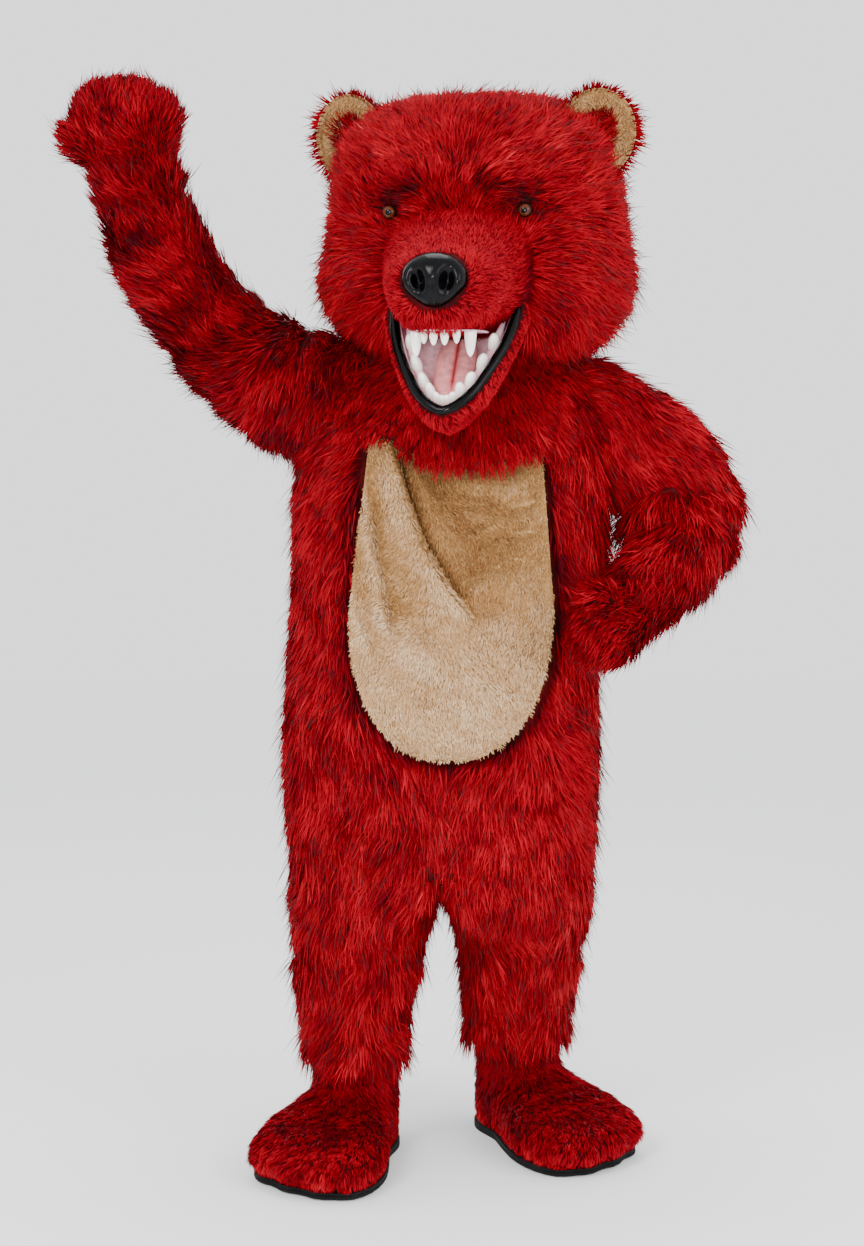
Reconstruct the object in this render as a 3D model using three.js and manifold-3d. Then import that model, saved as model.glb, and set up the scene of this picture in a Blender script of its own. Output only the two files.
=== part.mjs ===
// A bear mascot costume as it is worn, with no wearer in it: a furry head with an open
// mouth, a one-piece suit with a tan belly panel and a back zip, two mitts and two feet.
// Millimetres, +Z up, and the costume faces -Y. Heights in the tables are above the floor.
// "Right" and "left" are the wearer's, so the raised right arm is on the -X side.
import * as THREE from "three";
import { mergeVertices } from "three/addons/utils/BufferGeometryUtils.js";
import Module from "manifold-3d";

const wasm = await Module();
wasm.setup();

// Driving dimensions
const shoulders = { x: 42, z: 1420 }; // where the wearer carries the suit: the part's origin
const furCloth = 3; // wall of the long fur cloth, whose outside is where the fur ends
const headWall = 8; // foam and fur wall of the head
const seam = 0.3; // gap between pieces that are sewn together
const lowCrotch = 540;
const neckTop = 1498;
const legHem = 190;
const soleThick = 14;
const headCentre = { x: 66, y: 0, z: 1683 };
const headTurn = THREE.MathUtils.degToRad(-11);
const flapStandOff = 9; // outer face of the neck flap over the suit
const flap = { side: 1432, frontDrop: 158, backDrop: 80 };
const zipWidth = 22;
const slider = { height: 1440, long: 15, wide: 9, thick: 3 };
const lipEnds = { from: 0.47, to: 1.03 }; // shares round the mouth's outline

// How finely each surface is divided
const count = {
  body: { round: 32, along: 10 },
  sleeve: { round: 14, along: 12 },
  belly: { round: 12, along: 14 },
  legHalf: { round: 8, along: 6 },
  mitt: { round: 14, along: 8 },
  thumb: { round: 7, along: 4 },
  foot: { round: 22, along: 6 },
  flapHalf: { round: 16, along: 3 },
  head: { round: 26, along: 12 },
  muzzle: { round: 16, along: 5 },
  jaw: { round: 18, along: 4 },
  lip: { round: 6, along: 18 },
  gum: { round: 5, along: 12 },
  tongue: { round: 10, along: 6 },
  ear: { round: 14, along: 3 },
  eye: { round: 9, along: 5 },
  tooth: { round: 5, along: 4 },
  strip: { round: 3, along: 12 },
  nose: { round: 14, along: 7 },
};

// Sections of the suit's body, from the crotch to the neck
const torsoRows = [
  { height: 540, middle: 2, half: 284, front: 186, back: 184, square: 2.5 },
  { height: 640, middle: 3, half: 291, front: 200, back: 192, square: 2.5 },
  { height: 760, middle: 2, half: 293, front: 212, back: 188, square: 2.5 },
  { height: 880, middle: 4, half: 289, front: 214, back: 178, square: 2.5 },
  { height: 1000, middle: 9, half: 286, front: 207, back: 170, square: 2.4 },
  { height: 1120, middle: 15, half: 288, front: 197, back: 168, square: 2.4 },
  { height: 1230, middle: 22, half: 292, front: 187, back: 168, square: 2.3 },
  { height: 1330, middle: 30, half: 282, front: 172, back: 162, square: 2.2 },
  { height: 1405, middle: 42, half: 238, front: 150, back: 148, square: 2.1 },
  { height: 1455, middle: 52, half: 176, front: 126, back: 128, square: 2 },
  { height: 1498, middle: 58, half: 128, front: 106, back: 110, square: 2 },
];

// Sections of each leg below the crotch. The top one is blended into half of the body's.
const legRows = {
  right: [
    { height: 540, x: -142, y: 0, half: 142, front: 186, back: 184 },
    { height: 480, x: -143, y: 0, half: 139, front: 172, back: 172 },
    { height: 410, x: -148, y: -2, half: 131, front: 150, back: 152 },
    { height: 340, x: -153, y: -6, half: 123, front: 134, back: 136 },
    { height: 265, x: -158, y: -12, half: 110, front: 120, back: 122 },
    { height: 190, x: -156, y: -18, half: 104, front: 112, back: 114 },
  ],
  left: [
    { height: 540, x: 144, y: 0, half: 142, front: 186, back: 184 },
    { height: 480, x: 146, y: 18, half: 139, front: 174, back: 170 },
    { height: 410, x: 151, y: 42, half: 127, front: 152, back: 150 },
    { height: 340, x: 150, y: 66, half: 119, front: 136, back: 134 },
    { height: 265, x: 148, y: 90, half: 111, front: 120, back: 120 },
    { height: 190, x: 147, y: 108, half: 105, front: 112, back: 112 },
  ],
};
const crotchBlend = 150; // height over which half of the body's section turns into a leg

// Centre line and half sizes of each sleeve, from inside the shoulder to the cuff
const sleeveRows = {
  right: [
    { x: -110, y: 8, z: 1362, across: 112, depth: 100 },
    { x: -215, y: 4, z: 1392, across: 126, depth: 108 },
    { x: -305, y: -6, z: 1432, across: 119, depth: 108 },
    { x: -385, y: -22, z: 1487, across: 105, depth: 102 },
    { x: -445, y: -42, z: 1556, across: 97, depth: 97 },
    { x: -490, y: -60, z: 1632, across: 95, depth: 93 },
    { x: -522, y: -76, z: 1706, across: 91, depth: 90 },
    { x: -543, y: -88, z: 1780, across: 86, depth: 86 },
  ],
  left: [
    { x: 130, y: 4, z: 1352, across: 116, depth: 100 },
    { x: 238, y: 8, z: 1345, across: 128, depth: 108 },
    { x: 335, y: 14, z: 1310, across: 121, depth: 108 },
    { x: 413, y: 20, z: 1254, across: 113, depth: 104 },
    { x: 459, y: 12, z: 1190, across: 108, depth: 100 },
    { x: 454, y: -22, z: 1132, across: 95, depth: 92 },
    { x: 422, y: -68, z: 1088, across: 84, depth: 84 },
    { x: 380, y: -112, z: 1052, across: 78, depth: 78 },
    { x: 345, y: -144, z: 1024, across: 75, depth: 72 },
  ],
};
// Soft rolls of cloth round the sleeves: place along, how deep and how wide, as shares
const sleeveFolds = {
  right: [
    { along: 0.2, deep: 8, wide: 0.035 },
    { along: 0.29, deep: 7, wide: 0.03 },
    { along: 0.38, deep: 9, wide: 0.035 },
    { along: 0.5, deep: 6, wide: 0.03 },
    { along: 0.88, deep: 6, wide: 0.025 },
  ],
  left: [
    { along: 0.24, deep: 7, wide: 0.04 },
    { along: 0.46, deep: 9, wide: 0.035 },
    { along: 0.56, deep: 10, wide: 0.03 },
    { along: 0.68, deep: 7, wide: 0.03 },
  ],
};

// Centre line and half sizes of each mitt, from inside the cuff to the finger tips
const mittRows = {
  right: [
    { x: -532, y: -82, z: 1736, across: 84.6, depth: 84 },
    { x: -537, y: -84, z: 1756, across: 74, depth: 72 },
    { x: -543, y: -88, z: 1778, across: 74, depth: 70 },
    { x: -550, y: -93, z: 1815, across: 88, depth: 72 },
    { x: -556, y: -99, z: 1855, across: 103, depth: 76 },
    { x: -558, y: -104, z: 1893, across: 101, depth: 74 },
    { x: -558, y: -108, z: 1924, across: 82, depth: 60 },
    { x: -557, y: -110, z: 1944, across: 46, depth: 34 },
    { x: -557, y: -110, z: 1949, across: 10, depth: 8 },
  ],
  left: [
    { x: 372, y: -120, z: 1046, across: 73.8, depth: 73.1 },
    { x: 358, y: -133, z: 1035, across: 64, depth: 60 },
    { x: 342, y: -148, z: 1022, across: 64, depth: 58 },
    { x: 316, y: -176, z: 1002, across: 72, depth: 56 },
    { x: 293, y: -203, z: 984, across: 75, depth: 52 },
    { x: 272, y: -224, z: 968, across: 69, depth: 46 },
    { x: 254, y: -238, z: 955, across: 52, depth: 36 },
    { x: 244, y: -244, z: 948, across: 29, depth: 20 },
    { x: 240, y: -246, z: 945, across: 8, depth: 6 },
  ],
};
const thumbRows = {
  right: [
    { x: -596, y: -104, z: 1808, across: 30, depth: 32 },
    { x: -622, y: -112, z: 1828, across: 36, depth: 36 },
    { x: -646, y: -118, z: 1846, across: 32, depth: 32 },
    { x: -662, y: -121, z: 1858, across: 18, depth: 18 },
    { x: -666, y: -122, z: 1861, across: 5, depth: 5 },
  ],
  left: [
    { x: 318, y: -196, z: 1022, across: 24, depth: 24 },
    { x: 292, y: -218, z: 1034, across: 27, depth: 26 },
    { x: 266, y: -232, z: 1038, across: 24, depth: 24 },
    { x: 251, y: -238, z: 1038, across: 14, depth: 14 },
    { x: 247, y: -239, z: 1038, across: 5, depth: 5 },
  ],
};
const fingerGrooves = [-0.5, 0, 0.5]; // across the mitt, as shares of its half width
const grooveDeep = 0.14;

// A foot seen from above: how far its edge is from the ankle, by the angle from the toes.
// Positive angles lie on the inner side, where the longest toe is.
const footEdge = [
  { angle: -180, reach: 90 },
  { angle: -135, reach: 86 },
  { angle: -90, reach: 88 },
  { angle: -60, reach: 104 },
  { angle: -44, reach: 142 },
  { angle: -29, reach: 226 },
  { angle: -18, reach: 293 },
  { angle: -4, reach: 318 },
  { angle: 8, reach: 350 },
  { angle: 18, reach: 374 },
  { angle: 26, reach: 336 },
  { angle: 34, reach: 228 },
  { angle: 48, reach: 124 },
  { angle: 70, reach: 90 },
  { angle: 100, reach: 80 },
  { angle: 140, reach: 82 },
  { angle: 180, reach: 90 },
];
// How far each level of the foot spreads from the ankle's size to that edge
const footRows = [
  { height: 14.3, spread: 0.97 },
  { height: 42, spread: 1.03 },
  { height: 68, spread: 0.98 },
  { height: 92, spread: 0.76 },
  { height: 112, spread: 0.38 },
  { height: 136, spread: 0.1 },
  { height: 175, spread: 0.01 },
  { height: 240, spread: 0 },
];
const ankleRound = 74;
const hemInset = 3.7; // the shoe's top lies against the leg's inner face, this far from its outer
const toeGrooves = [-8, 5, 15]; // angles between the toes
const feet = {
  right: { x: -156, y: -22, turn: -20 },
  left: { x: 148, y: 106, turn: 31 },
};

// Belly panel: half width by height, from its round lower end up under the neck flap
const belly = { low: 747, wide: 1015, top: 1350, half: 184, topHalf: 150, middle: 15, lean: 12, follow: 56 };
const bellyInset = 11; // the short pile lies lower than the long fur round it

// Head sections, as heights above or below the middle of the head
const headRows = [
  { rise: -222, half: 158, front: 128, back: 168, square: 2.1 },
  { rise: -196, half: 214, front: 168, back: 208, square: 2.1 },
  { rise: -152, half: 262, front: 198, back: 244, square: 2.1 },
  { rise: -92, half: 284, front: 212, back: 264, square: 2.1 },
  { rise: -22, half: 281, front: 214, back: 270, square: 2.1 },
  { rise: 48, half: 272, front: 222, back: 268, square: 2.1 },
  { rise: 108, half: 266, front: 214, back: 256, square: 2.1 },
  { rise: 164, half: 250, front: 188, back: 230, square: 2.2 },
  { rise: 212, half: 210, front: 144, back: 184, square: 2.2 },
  { rise: 244, half: 140, front: 90, back: 120, square: 2.2 },
  { rise: 256, half: 20, front: 14, back: 18, square: 2 },
];
// Brows, eye hollows, cheeks and the furrow between the brows, pushed out or in
const faceForms = [
  { x: 88, rise: 74, wide: 66, tall: 30, push: 18 },
  { x: -88, rise: 74, wide: 66, tall: 30, push: 18 },
  { x: 122, rise: 22, wide: 44, tall: 30, push: -13 },
  { x: -122, rise: 22, wide: 44, tall: 30, push: -13 },
  { x: 0, rise: 110, wide: 34, tall: 60, push: -8 },
  { x: 170, rise: -70, wide: 70, tall: 70, push: 16 },
  { x: -170, rise: -70, wide: 70, tall: 70, push: 16 },
];
const muzzleRows = [
  { reach: 120, rise: -74, half: 138, up: 130, down: 110 },
  { reach: 205, rise: -80, half: 125, up: 108, down: 104 },
  { reach: 275, rise: -90, half: 112, up: 84, down: 95 },
  { reach: 335, rise: -101, half: 101, up: 64, down: 84 },
  { reach: 378, rise: -107, half: 87, up: 50, down: 73 },
  { reach: 403, rise: -111, half: 64, up: 38, down: 55 },
  { reach: 414, rise: -112, half: 30, up: 18, down: 26 },
  { reach: 416, rise: -112, half: 8, up: 5, down: 7 },
];

// The mouth's rim lies in a sloping plane. It is measured from the middle between the
// mouth's corners: across, down towards the chin, and out of the mouth.
const mouth = { reach: 205, rise: -146, half: 111, down: 214, up: 46, slope: 55, square: 1.9, taper: 0.24 };
const lipRound = 9;
const jawRows = [
  { out: -95, grow: -26 },
  { out: -60, grow: 2 },
  { out: -28, grow: 18 },
  { out: -2, grow: 18 },
  { out: 8, grow: 11 },
];
const liningRows = [
  { out: 0, grow: -10 },
  { out: -22, grow: -10 },
  { out: -46, grow: -21 },
  { out: -64, grow: -48 },
  { out: -72, grow: -78 },
  { out: -74, grow: -100 },
];
const tongue = { start: 22, end: 166, half: 36, thick: 12, out: -62, lift: 16 };
const gum = { grow: -25.5, out: -13, radius: 7, from: 0.5, to: 1 };
const palate = { half: 66, back: 250, deep: 128, low: -187, tall: 30 };
const lowerTeeth = [
  // place round the gum, from the corner (0) to the chin (1), and each tooth's size
  { place: 0.24, wide: 27, thick: 19, tall: 25 },
  { place: 0.41, wide: 28, thick: 19, tall: 27 },
  { place: 0.58, wide: 26, thick: 18, tall: 26 },
  { place: 0.73, wide: 18, thick: 17, tall: 34 },
  { place: 0.85, wide: 14, thick: 13, tall: 21 },
  { place: 0.95, wide: 13, thick: 12, tall: 19 },
];
const upperTeeth = [
  { x: 47, wide: 20, thick: 17, tall: 46 },
  { x: 28, wide: 13, thick: 12, tall: 23 },
  { x: 9.5, wide: 15, thick: 12, tall: 26 },
];
const nose = { reach: 400, rise: -102, half: 58, tall: 50, deep: 36 };
const nostril = { x: 27, rise: -107, reach: 434, half: 14, tall: 12, deep: 14 };
const eye = { x: 120, rise: 27, radius: 13, sunk: -3 };
const ear = { x: 223, y: -44, rise: 172, half: 76, tall: 86, deep: 46, turn: 20, roll: 22 };
const earInner = { share: 0.92, deep: 17 };

// Basic functions
const up = new THREE.Vector3(0, 0, 1);
const point = (x, y, z) => new THREE.Vector3(x, y, z);
const clamp = (value, low, high) => Math.min(Math.max(value, low), high);
const power = (value, exponent) => Math.sign(value) * Math.abs(value) ** exponent;
const bell = (distance, width) => Math.exp(-((distance / width) ** 2));
const smooth = (value) => {
  const t = clamp(value, 0, 1);
  return t * t * (3 - 2 * t);
};

// Every column of a table at a share of its length, on a smooth curve through the rows
function between(rows, share) {
  const place = clamp(share, 0, 1) * (rows.length - 1);
  const first = Math.min(Math.floor(place), rows.length - 2);
  const t = place - first;
  const [a, b, c, d] = [-1, 0, 1, 2].map((k) => rows[clamp(first + k, 0, rows.length - 1)]);
  const found = {};
  for (const key of Object.keys(b)) {
    const bend = 2 * a[key] - 5 * b[key] + 4 * c[key] - d[key];
    const twist = 3 * b[key] - a[key] - 3 * c[key] + d[key];
    found[key] = b[key] + 0.5 * t * (c[key] - a[key] + t * (bend + t * twist));
  }
  return found;
}

// The share of a table's length where a column reaches a value
function shareAt(rows, key, value) {
  let low = 0;
  let high = 1;
  const rising = rows[rows.length - 1][key] > rows[0][key];
  for (let step = 0; step < 30; step += 1) {
    const middle = (low + high) / 2;
    if (between(rows, middle)[key] < value === rising) low = middle;
    else high = middle;
  }
  return low;
}

// Surfaces: each is a function of a share round (u) and a share along (v)
function torsoSurface(u, v, moved = 0) {
  const row = between(torsoRows, v);
  const turn = 2 * Math.PI * u;
  const away = 2 / row.square;
  const side = Math.sin(turn) < 0 ? row.front : row.back;
  return point(
    row.middle + (row.half + moved) * power(Math.cos(turn), away),
    (side + moved) * power(Math.sin(turn), away),
    row.height,
  );
}

function legSurface(side, u, v) {
  const row = between(legRows[side], v);
  const turn = 2 * Math.PI * u;
  const body = between(torsoRows, 0);
  const away = 2 / body.square;
  const depth = Math.sin(turn) < 0 ? row.front : row.back;
  const outward = side === "right" ? -1 : 1;
  // half of the body's section: its outer side is the body's, and its inner side is flat
  const outerSide = Math.max(0, outward * Math.cos(turn));
  const halfBody = point(
    body.middle + outward * (seam + (body.half - seam) * outerSide ** away),
    (Math.sin(turn) < 0 ? body.front : body.back) * power(Math.sin(turn), away),
    row.height,
  );
  const round = point(
    row.x + row.half * Math.cos(turn),
    row.y + depth * power(Math.sin(turn), 0.95),
    row.height,
  );
  return halfBody.lerp(round, smooth((lowCrotch - row.height) / crotchBlend));
}

// A point round a centre line. The section stands square to the line, and its depth
// lies as near to the Y axis as it can.
function roundLine(rows, u, v, moved = 0, square = 2) {
  const row = between(rows, v);
  const step = 0.01;
  const before = between(rows, clamp(v, step, 1) - step);
  const after = between(rows, clamp(v, 0, 1 - step) + step);
  const along = point(after.x - before.x, after.y - before.y, after.z - before.z).normalize();
  const across = point(0, 1, 0).cross(along).normalize();
  const depth = along.clone().cross(across);
  const turn = 2 * Math.PI * u;
  return point(row.x, row.y, row.z)
    .addScaledVector(across, (row.across + moved) * power(Math.cos(turn), 2 / square))
    .addScaledVector(depth, (row.depth + moved) * power(Math.sin(turn), 2 / square));
}

function sleeveSurface(side, u, v) {
  let folded = 0;
  for (const fold of sleeveFolds[side]) folded -= fold.deep * bell(v - fold.along, fold.wide);
  return roundLine(sleeveRows[side], u, v, folded);
}

// The grooves between the fingers run back from the tips on both faces of the mitt
function mittSurface(side, u, v) {
  const row = between(mittRows[side], v);
  const across = Math.cos(2 * Math.PI * u);
  let groove = 0;
  for (const place of fingerGrooves) groove += bell(across - place, 0.13);
  const depth = row.depth * (1 - grooveDeep * groove * smooth((v - 0.4) / 0.3));
  const flat = [{ ...row, depth }];
  const round = roundLine(mittRows[side], u, v);
  const centre = point(row.x, row.y, row.z);
  const share = flat[0].depth / row.depth;
  const out = round.sub(centre);
  const lean = Math.abs(Math.sin(2 * Math.PI * u));
  return centre.add(out.multiplyScalar(1 + (share - 1) * lean));
}

function footReach(angle) {
  const rows = footEdge;
  const turned = ((angle + 540) % 360) - 180;
  const at = rows.findIndex((row) => row.angle >= turned);
  const last = clamp(at, 1, rows.length - 1);
  const t = (turned - rows[last - 1].angle) / (rows[last].angle - rows[last - 1].angle);
  return between(rows, (last - 1 + t) / (rows.length - 1)).reach;
}

// The table's edge made rounder, as the mean of five places near an angle
function footRound(angle) {
  let total = 0;
  for (const shift of [-9, -4.5, 0, 4.5, 9]) total += footReach(angle + shift);
  return (1.025 * total) / 5;
}

// A foot's level at an angle from the toes, turned and set at its ankle
function footPoint(side, angle, height, spread) {
  const inner = side === "right" ? 1 : -1;
  let groove = 0;
  for (const place of toeGrooves) groove += bell(angle - place, 4.5);
  const edge = footRound(angle) * (1 - 0.035 * groove);
  const reach = ankleRound + (edge - ankleRound) * spread;
  const heading = THREE.MathUtils.degToRad(feet[side].turn + inner * angle);
  return point(
    feet[side].x + reach * Math.sin(heading),
    feet[side].y - reach * Math.cos(heading),
    height,
  );
}

// The shoe's top widens under the hem until it lies against the inside of the leg
function footSurface(side, u, v) {
  const row = between(footRows, v);
  const inner = side === "right" ? 1 : -1;
  const shoe = footPoint(side, inner * (360 * u - 180), row.height, row.spread);
  const leg = between(legRows[side], shareAt(legRows[side], "height", row.height));
  const heading = THREE.MathUtils.degToRad(feet[side].turn + 360 * u - 180);
  const depth = Math.cos(heading) > 0 ? leg.front : leg.back;
  const collar = point(
    leg.x + (leg.half - hemInset) * Math.sin(heading),
    leg.y - (depth - hemInset) * Math.cos(heading),
    row.height,
  );
  return shoe.lerp(collar, smooth((row.height - 186) / 54));
}

const bellyHalf = (height) =>
  height < belly.wide
    ? belly.half * (1 - ((belly.wide - height) / (belly.wide - belly.low)) ** 2.3) ** (1 / 2.3)
    : THREE.MathUtils.mapLinear(height, belly.wide, belly.top, belly.half, belly.topHalf);
const bellyMiddle = (height) =>
  belly.middle + (belly.lean * (height - belly.low)) / (belly.top - belly.low);

// Folds of the belly panel: one deep cowl from the upper left edge down to the middle,
// and softer ones beside it. Each runs from a start to an end, in x and height.
const bellyFolds = [
  { x0: -100, z0: 1345, x1: 40, z1: 1010, push: 15, wide: 30 },
  { x0: -50, z0: 1345, x1: 84, z1: 1020, push: -20, wide: 34 },
  { x0: -128, z0: 1250, x1: -84, z1: 960, push: 8, wide: 24 },
  { x0: -150, z0: 1120, x1: -120, z1: 860, push: -6, wide: 26 },
  { x0: 70, z0: 1040, x1: 150, z1: 1120, push: 9, wide: 34 },
];

// How far a fold moves the cloth at a place: full on its line, and faded at its ends
function foldPush(fold, x, z) {
  const [dx, dz] = [fold.x1 - fold.x0, fold.z1 - fold.z0];
  const long = Math.hypot(dx, dz);
  const share = ((x - fold.x0) * dx + (z - fold.z0) * dz) / long ** 2;
  const off = ((x - fold.x0) * dz - (z - fold.z0) * dx) / long;
  const fade = smooth((share + 0.15) / 0.3) * smooth((1.12 - share) / 0.3);
  return fold.push * fade * bell(off, fold.wide);
}

// The belly panel sinks below the fur from its edge inwards, and carries its folds
function bellySurface(u, v) {
  const level = belly.low + (belly.top - belly.low) * v ** 1.5;
  const height = level + 4 * seam * (1 - v) ** 2 - seam * v;
  const middle = bellyMiddle(level);
  // the columns lean with the main fold in the upper part, and stay put at the edges
  const lean = belly.follow * smooth((height - 1000) / 350) * (1 - (2 * u - 1) ** 2);
  const half = Math.max(bellyHalf(level) - seam, 4);
  const x = middle + (2 * u - 1) * half - lean;
  const row = between(torsoRows, shareAt(torsoRows, "height", height));
  const beside = clamp(Math.abs((x - row.middle) / row.half), 0, 0.97) ** row.square;
  const edgeGap = Math.min(half - Math.abs(x - middle), 1.4 * (level - belly.low));
  const inside = smooth(edgeGap / 32);
  let pushed = 0;
  for (const fold of bellyFolds) pushed += foldPush(fold, x, height);
  const out = row.front * (1 - beside) ** (1 / row.square) + inside * (pushed - bellyInset);
  return point(x, -out, height);
}

const toHead = (local) => local.applyAxisAngle(up, headTurn).add(headCentre);

function headSurface(u, v, moved = 0) {
  const row = between(headRows, v);
  const turn = 2 * Math.PI * u;
  const away = 2 / row.square;
  const side = Math.sin(turn) < 0 ? row.front : row.back;
  const local = point(
    (row.half + moved) * power(Math.cos(turn), away),
    (side + moved) * power(Math.sin(turn), away),
    row.rise,
  );
  if (local.y < 0) {
    for (const form of faceForms) {
      const near = bell(local.x - form.x, form.wide) * bell(local.z - form.rise, form.tall);
      local.y -= form.push * near * smooth(-local.y / 60);
    }
  }
  return toHead(local);
}

function muzzleSurface(u, v, moved = 0) {
  const row = between(muzzleRows, v);
  const turn = 2 * Math.PI * u;
  const tall = Math.sin(turn) > 0 ? row.up : row.down;
  return toHead(
    point(
      (row.half + moved) * power(Math.cos(turn), 0.86),
      -row.reach - moved,
      row.rise + (tall + moved) * power(Math.sin(turn), 0.86),
    ),
  );
}

// A place in the mouth's sloping frame, as a place in the room
function inMouth(across, down, out) {
  const slope = THREE.MathUtils.degToRad(mouth.slope);
  return toHead(
    point(
      across,
      -(mouth.reach + down * Math.cos(slope) + out * Math.sin(slope)),
      mouth.rise - down * Math.sin(slope) + out * Math.cos(slope),
    ),
  );
}

// The mouth's outline, grown or shrunk, at a turn: half a turn runs past the chin
function mouthLoop(u, grow, out) {
  const turn = 2 * Math.PI * u;
  const away = 2 / mouth.square;
  const down = Math.sin(turn) < 0 ? mouth.down : mouth.up;
  const narrow = 1 - mouth.taper * Math.max(0, -Math.sin(turn)) ** away;
  return inMouth(
    Math.max(mouth.half + grow, 3) * narrow * power(Math.cos(turn), away),
    -Math.max(down + grow, 3) * power(Math.sin(turn), away),
    out,
  );
}

const loft = (rows) => (u, v) => {
  const row = between(rows, v);
  return mouthLoop(u, row.grow, row.out);
};

// Solids from surfaces
const reverseIf = (face, flip) => (flip ? [face[0], face[2], face[1]] : face);

function solidFrom(points, faces) {
  const flat = new Float32Array(points.flatMap((p) => [p.x, p.y, p.z]));
  const made = new wasm.Mesh({
    numProp: 3,
    vertProperties: flat,
    triVerts: new Uint32Array(faces.flat()),
  });
  return new wasm.Manifold(made);
}

// Outward direction of a surface at a share round and along
function outward(surface, u, v) {
  const step = 0.004;
  const low = clamp(v, 0, 1 - step);
  const before = surface(u, low);
  const round = surface(u + step, low).sub(surface(u - step, low));
  return round.cross(surface(u, low + step).sub(before)).normalize();
}

// A wall behind a surface. "from" and "to" bound it round, and a full turn closes it
// unless it is a "sheet". "start" and "end" bound it along, and "tip" closes its far end.
function wall(surface, options) {
  const { round, along, thick, from = 0, to = 1, start = 0, end = 1, tip = false } = options;
  const { flip = false, sheet = false } = options;
  const closed = !sheet && to - from > 0.9999;
  const columns = closed ? round : round + 1;
  const points = [];
  for (const depth of [0, thick]) {
    for (let row = 0; row <= along; row += 1) {
      for (let column = 0; column < columns; column += 1) {
        const u = from + ((to - from) * column) / round;
        const v = start + ((end - start) * row) / along;
        const out = outward(surface, u, v).multiplyScalar(flip ? 1 : -1);
        points.push(surface(u, v).addScaledVector(out, depth));
      }
    }
  }
  const layer = columns * (along + 1);
  const at = (side, row, column) => side * layer + row * columns + (column % columns);
  const faces = [];
  const quad = (a, b, c, d) => {
    faces.push(reverseIf([a, b, c], flip), reverseIf([a, c, d], flip));
  };
  for (let row = 0; row < along; row += 1) {
    for (let column = 0; column < round; column += 1) {
      const corners = [
        [row, column],
        [row, column + 1],
        [row + 1, column + 1],
        [row + 1, column],
      ];
      quad(...corners.map(([r, c]) => at(0, r, c)));
      quad(...corners.reverse().map(([r, c]) => at(1, r, c)));
    }
    if (!closed) {
      quad(at(0, row, 0), at(0, row + 1, 0), at(1, row + 1, 0), at(1, row, 0));
      const last = columns - 1;
      quad(at(1, row, last), at(1, row + 1, last), at(0, row + 1, last), at(0, row, last));
    }
  }
  const centre = (side) => {
    const ring = points.slice(at(side, along, 0), at(side, along, 0) + columns);
    return ring.reduce((sum, p) => sum.add(p), point(0, 0, 0)).divideScalar(columns);
  };
  const tips = tip ? [points.push(centre(0)) - 1, points.push(centre(1)) - 1] : [];
  for (let column = 0; column < round; column += 1) {
    const next = column + 1;
    quad(at(1, 0, column), at(1, 0, next), at(0, 0, next), at(0, 0, column));
    if (tip) {
      faces.push(reverseIf([at(0, along, column), at(0, along, next), tips[0]], flip));
      faces.push(reverseIf([at(1, along, next), at(1, along, column), tips[1]], flip));
    } else {
      quad(at(0, along, column), at(0, along, next), at(1, along, next), at(1, along, column));
    }
  }
  return solidFrom(points, faces);
}

// The whole space inside a surface, moved out by "grow", for cutting its neighbours
function filled(surface, { round, along, grow = 0, start = 0, end = 1, flip = false }) {
  const points = [];
  for (let row = 0; row <= along; row += 1) {
    for (let column = 0; column < round; column += 1) {
      const [u, v] = [column / round, start + ((end - start) * row) / along];
      const out = outward(surface, u, v).multiplyScalar(flip ? -grow : grow);
      points.push(surface(u, v).add(out));
    }
  }
  const faces = [];
  const add = (...face) => faces.push(reverseIf(face, flip));
  const ends = [0, along].map((row) => {
    const ring = points.slice(row * round, (row + 1) * round);
    const middle = ring.reduce((sum, p) => sum.add(p), point(0, 0, 0)).divideScalar(round);
    return points.push(middle) - 1;
  });
  for (let column = 0; column < round; column += 1) {
    const next = (column + 1) % round;
    add(next, column, ends[0]);
    add(along * round + column, along * round + next, ends[1]);
    for (let row = 0; row < along; row += 1) {
      const [a, b] = [row * round + column, row * round + next];
      add(a, b, b + round);
      add(a, b + round, a + round);
    }
  }
  return solidFrom(points, faces);
}

// A solid from one of three.js' own closed geometries
function solidOf(geometry) {
  const bare = geometry.clone();
  for (const name of ["normal", "uv"]) bare.deleteAttribute(name);
  const merged = mergeVertices(bare, 1e-3);
  return new wasm.Manifold(
    new wasm.Mesh({
      numProp: 3,
      vertProperties: new Float32Array(merged.attributes.position.array),
      triVerts: new Uint32Array(merged.index.array),
    }),
  );
}

// Its largest body, so that slivers left by a cut are dropped
const largest = (solid) => solid.decompose().sort((a, b) => b.volume() - a.volume())[0];

function blob(size, place) {
  const geometry = new THREE.SphereGeometry(1, count.eye.round, count.eye.along);
  geometry.scale(...size);
  geometry.translate(place.x, place.y, place.z);
  return solidOf(geometry);
}

const materials = Object.fromEntries(
  Object.entries({
    redFur: ["#a90f16", 0.8],
    tanPlush: ["#b48e5f", 0.85],
    blackRubber: ["#18181b", 0.3],
    pinkRubber: ["#e08d8b", 0.45],
    tooth: ["#f1ece4", 0.35],
    glassEye: ["#3c1c0d", 0.12],
    zipTape: ["#5e0a0e", 0.7],
    zipMetal: ["#8d8f94", 0.35],
    soleFoam: ["#141416", 0.75],
  }).map(([name, [color, roughness]]) => [
    name,
    new THREE.MeshStandardMaterial({
      color,
      roughness,
      metalness: name === "zipMetal" ? 0.9 : 0,
    }),
  ]),
);

const costume = new THREE.Group();
costume.position.set(-shoulders.x, 0, -shoulders.z);

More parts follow.
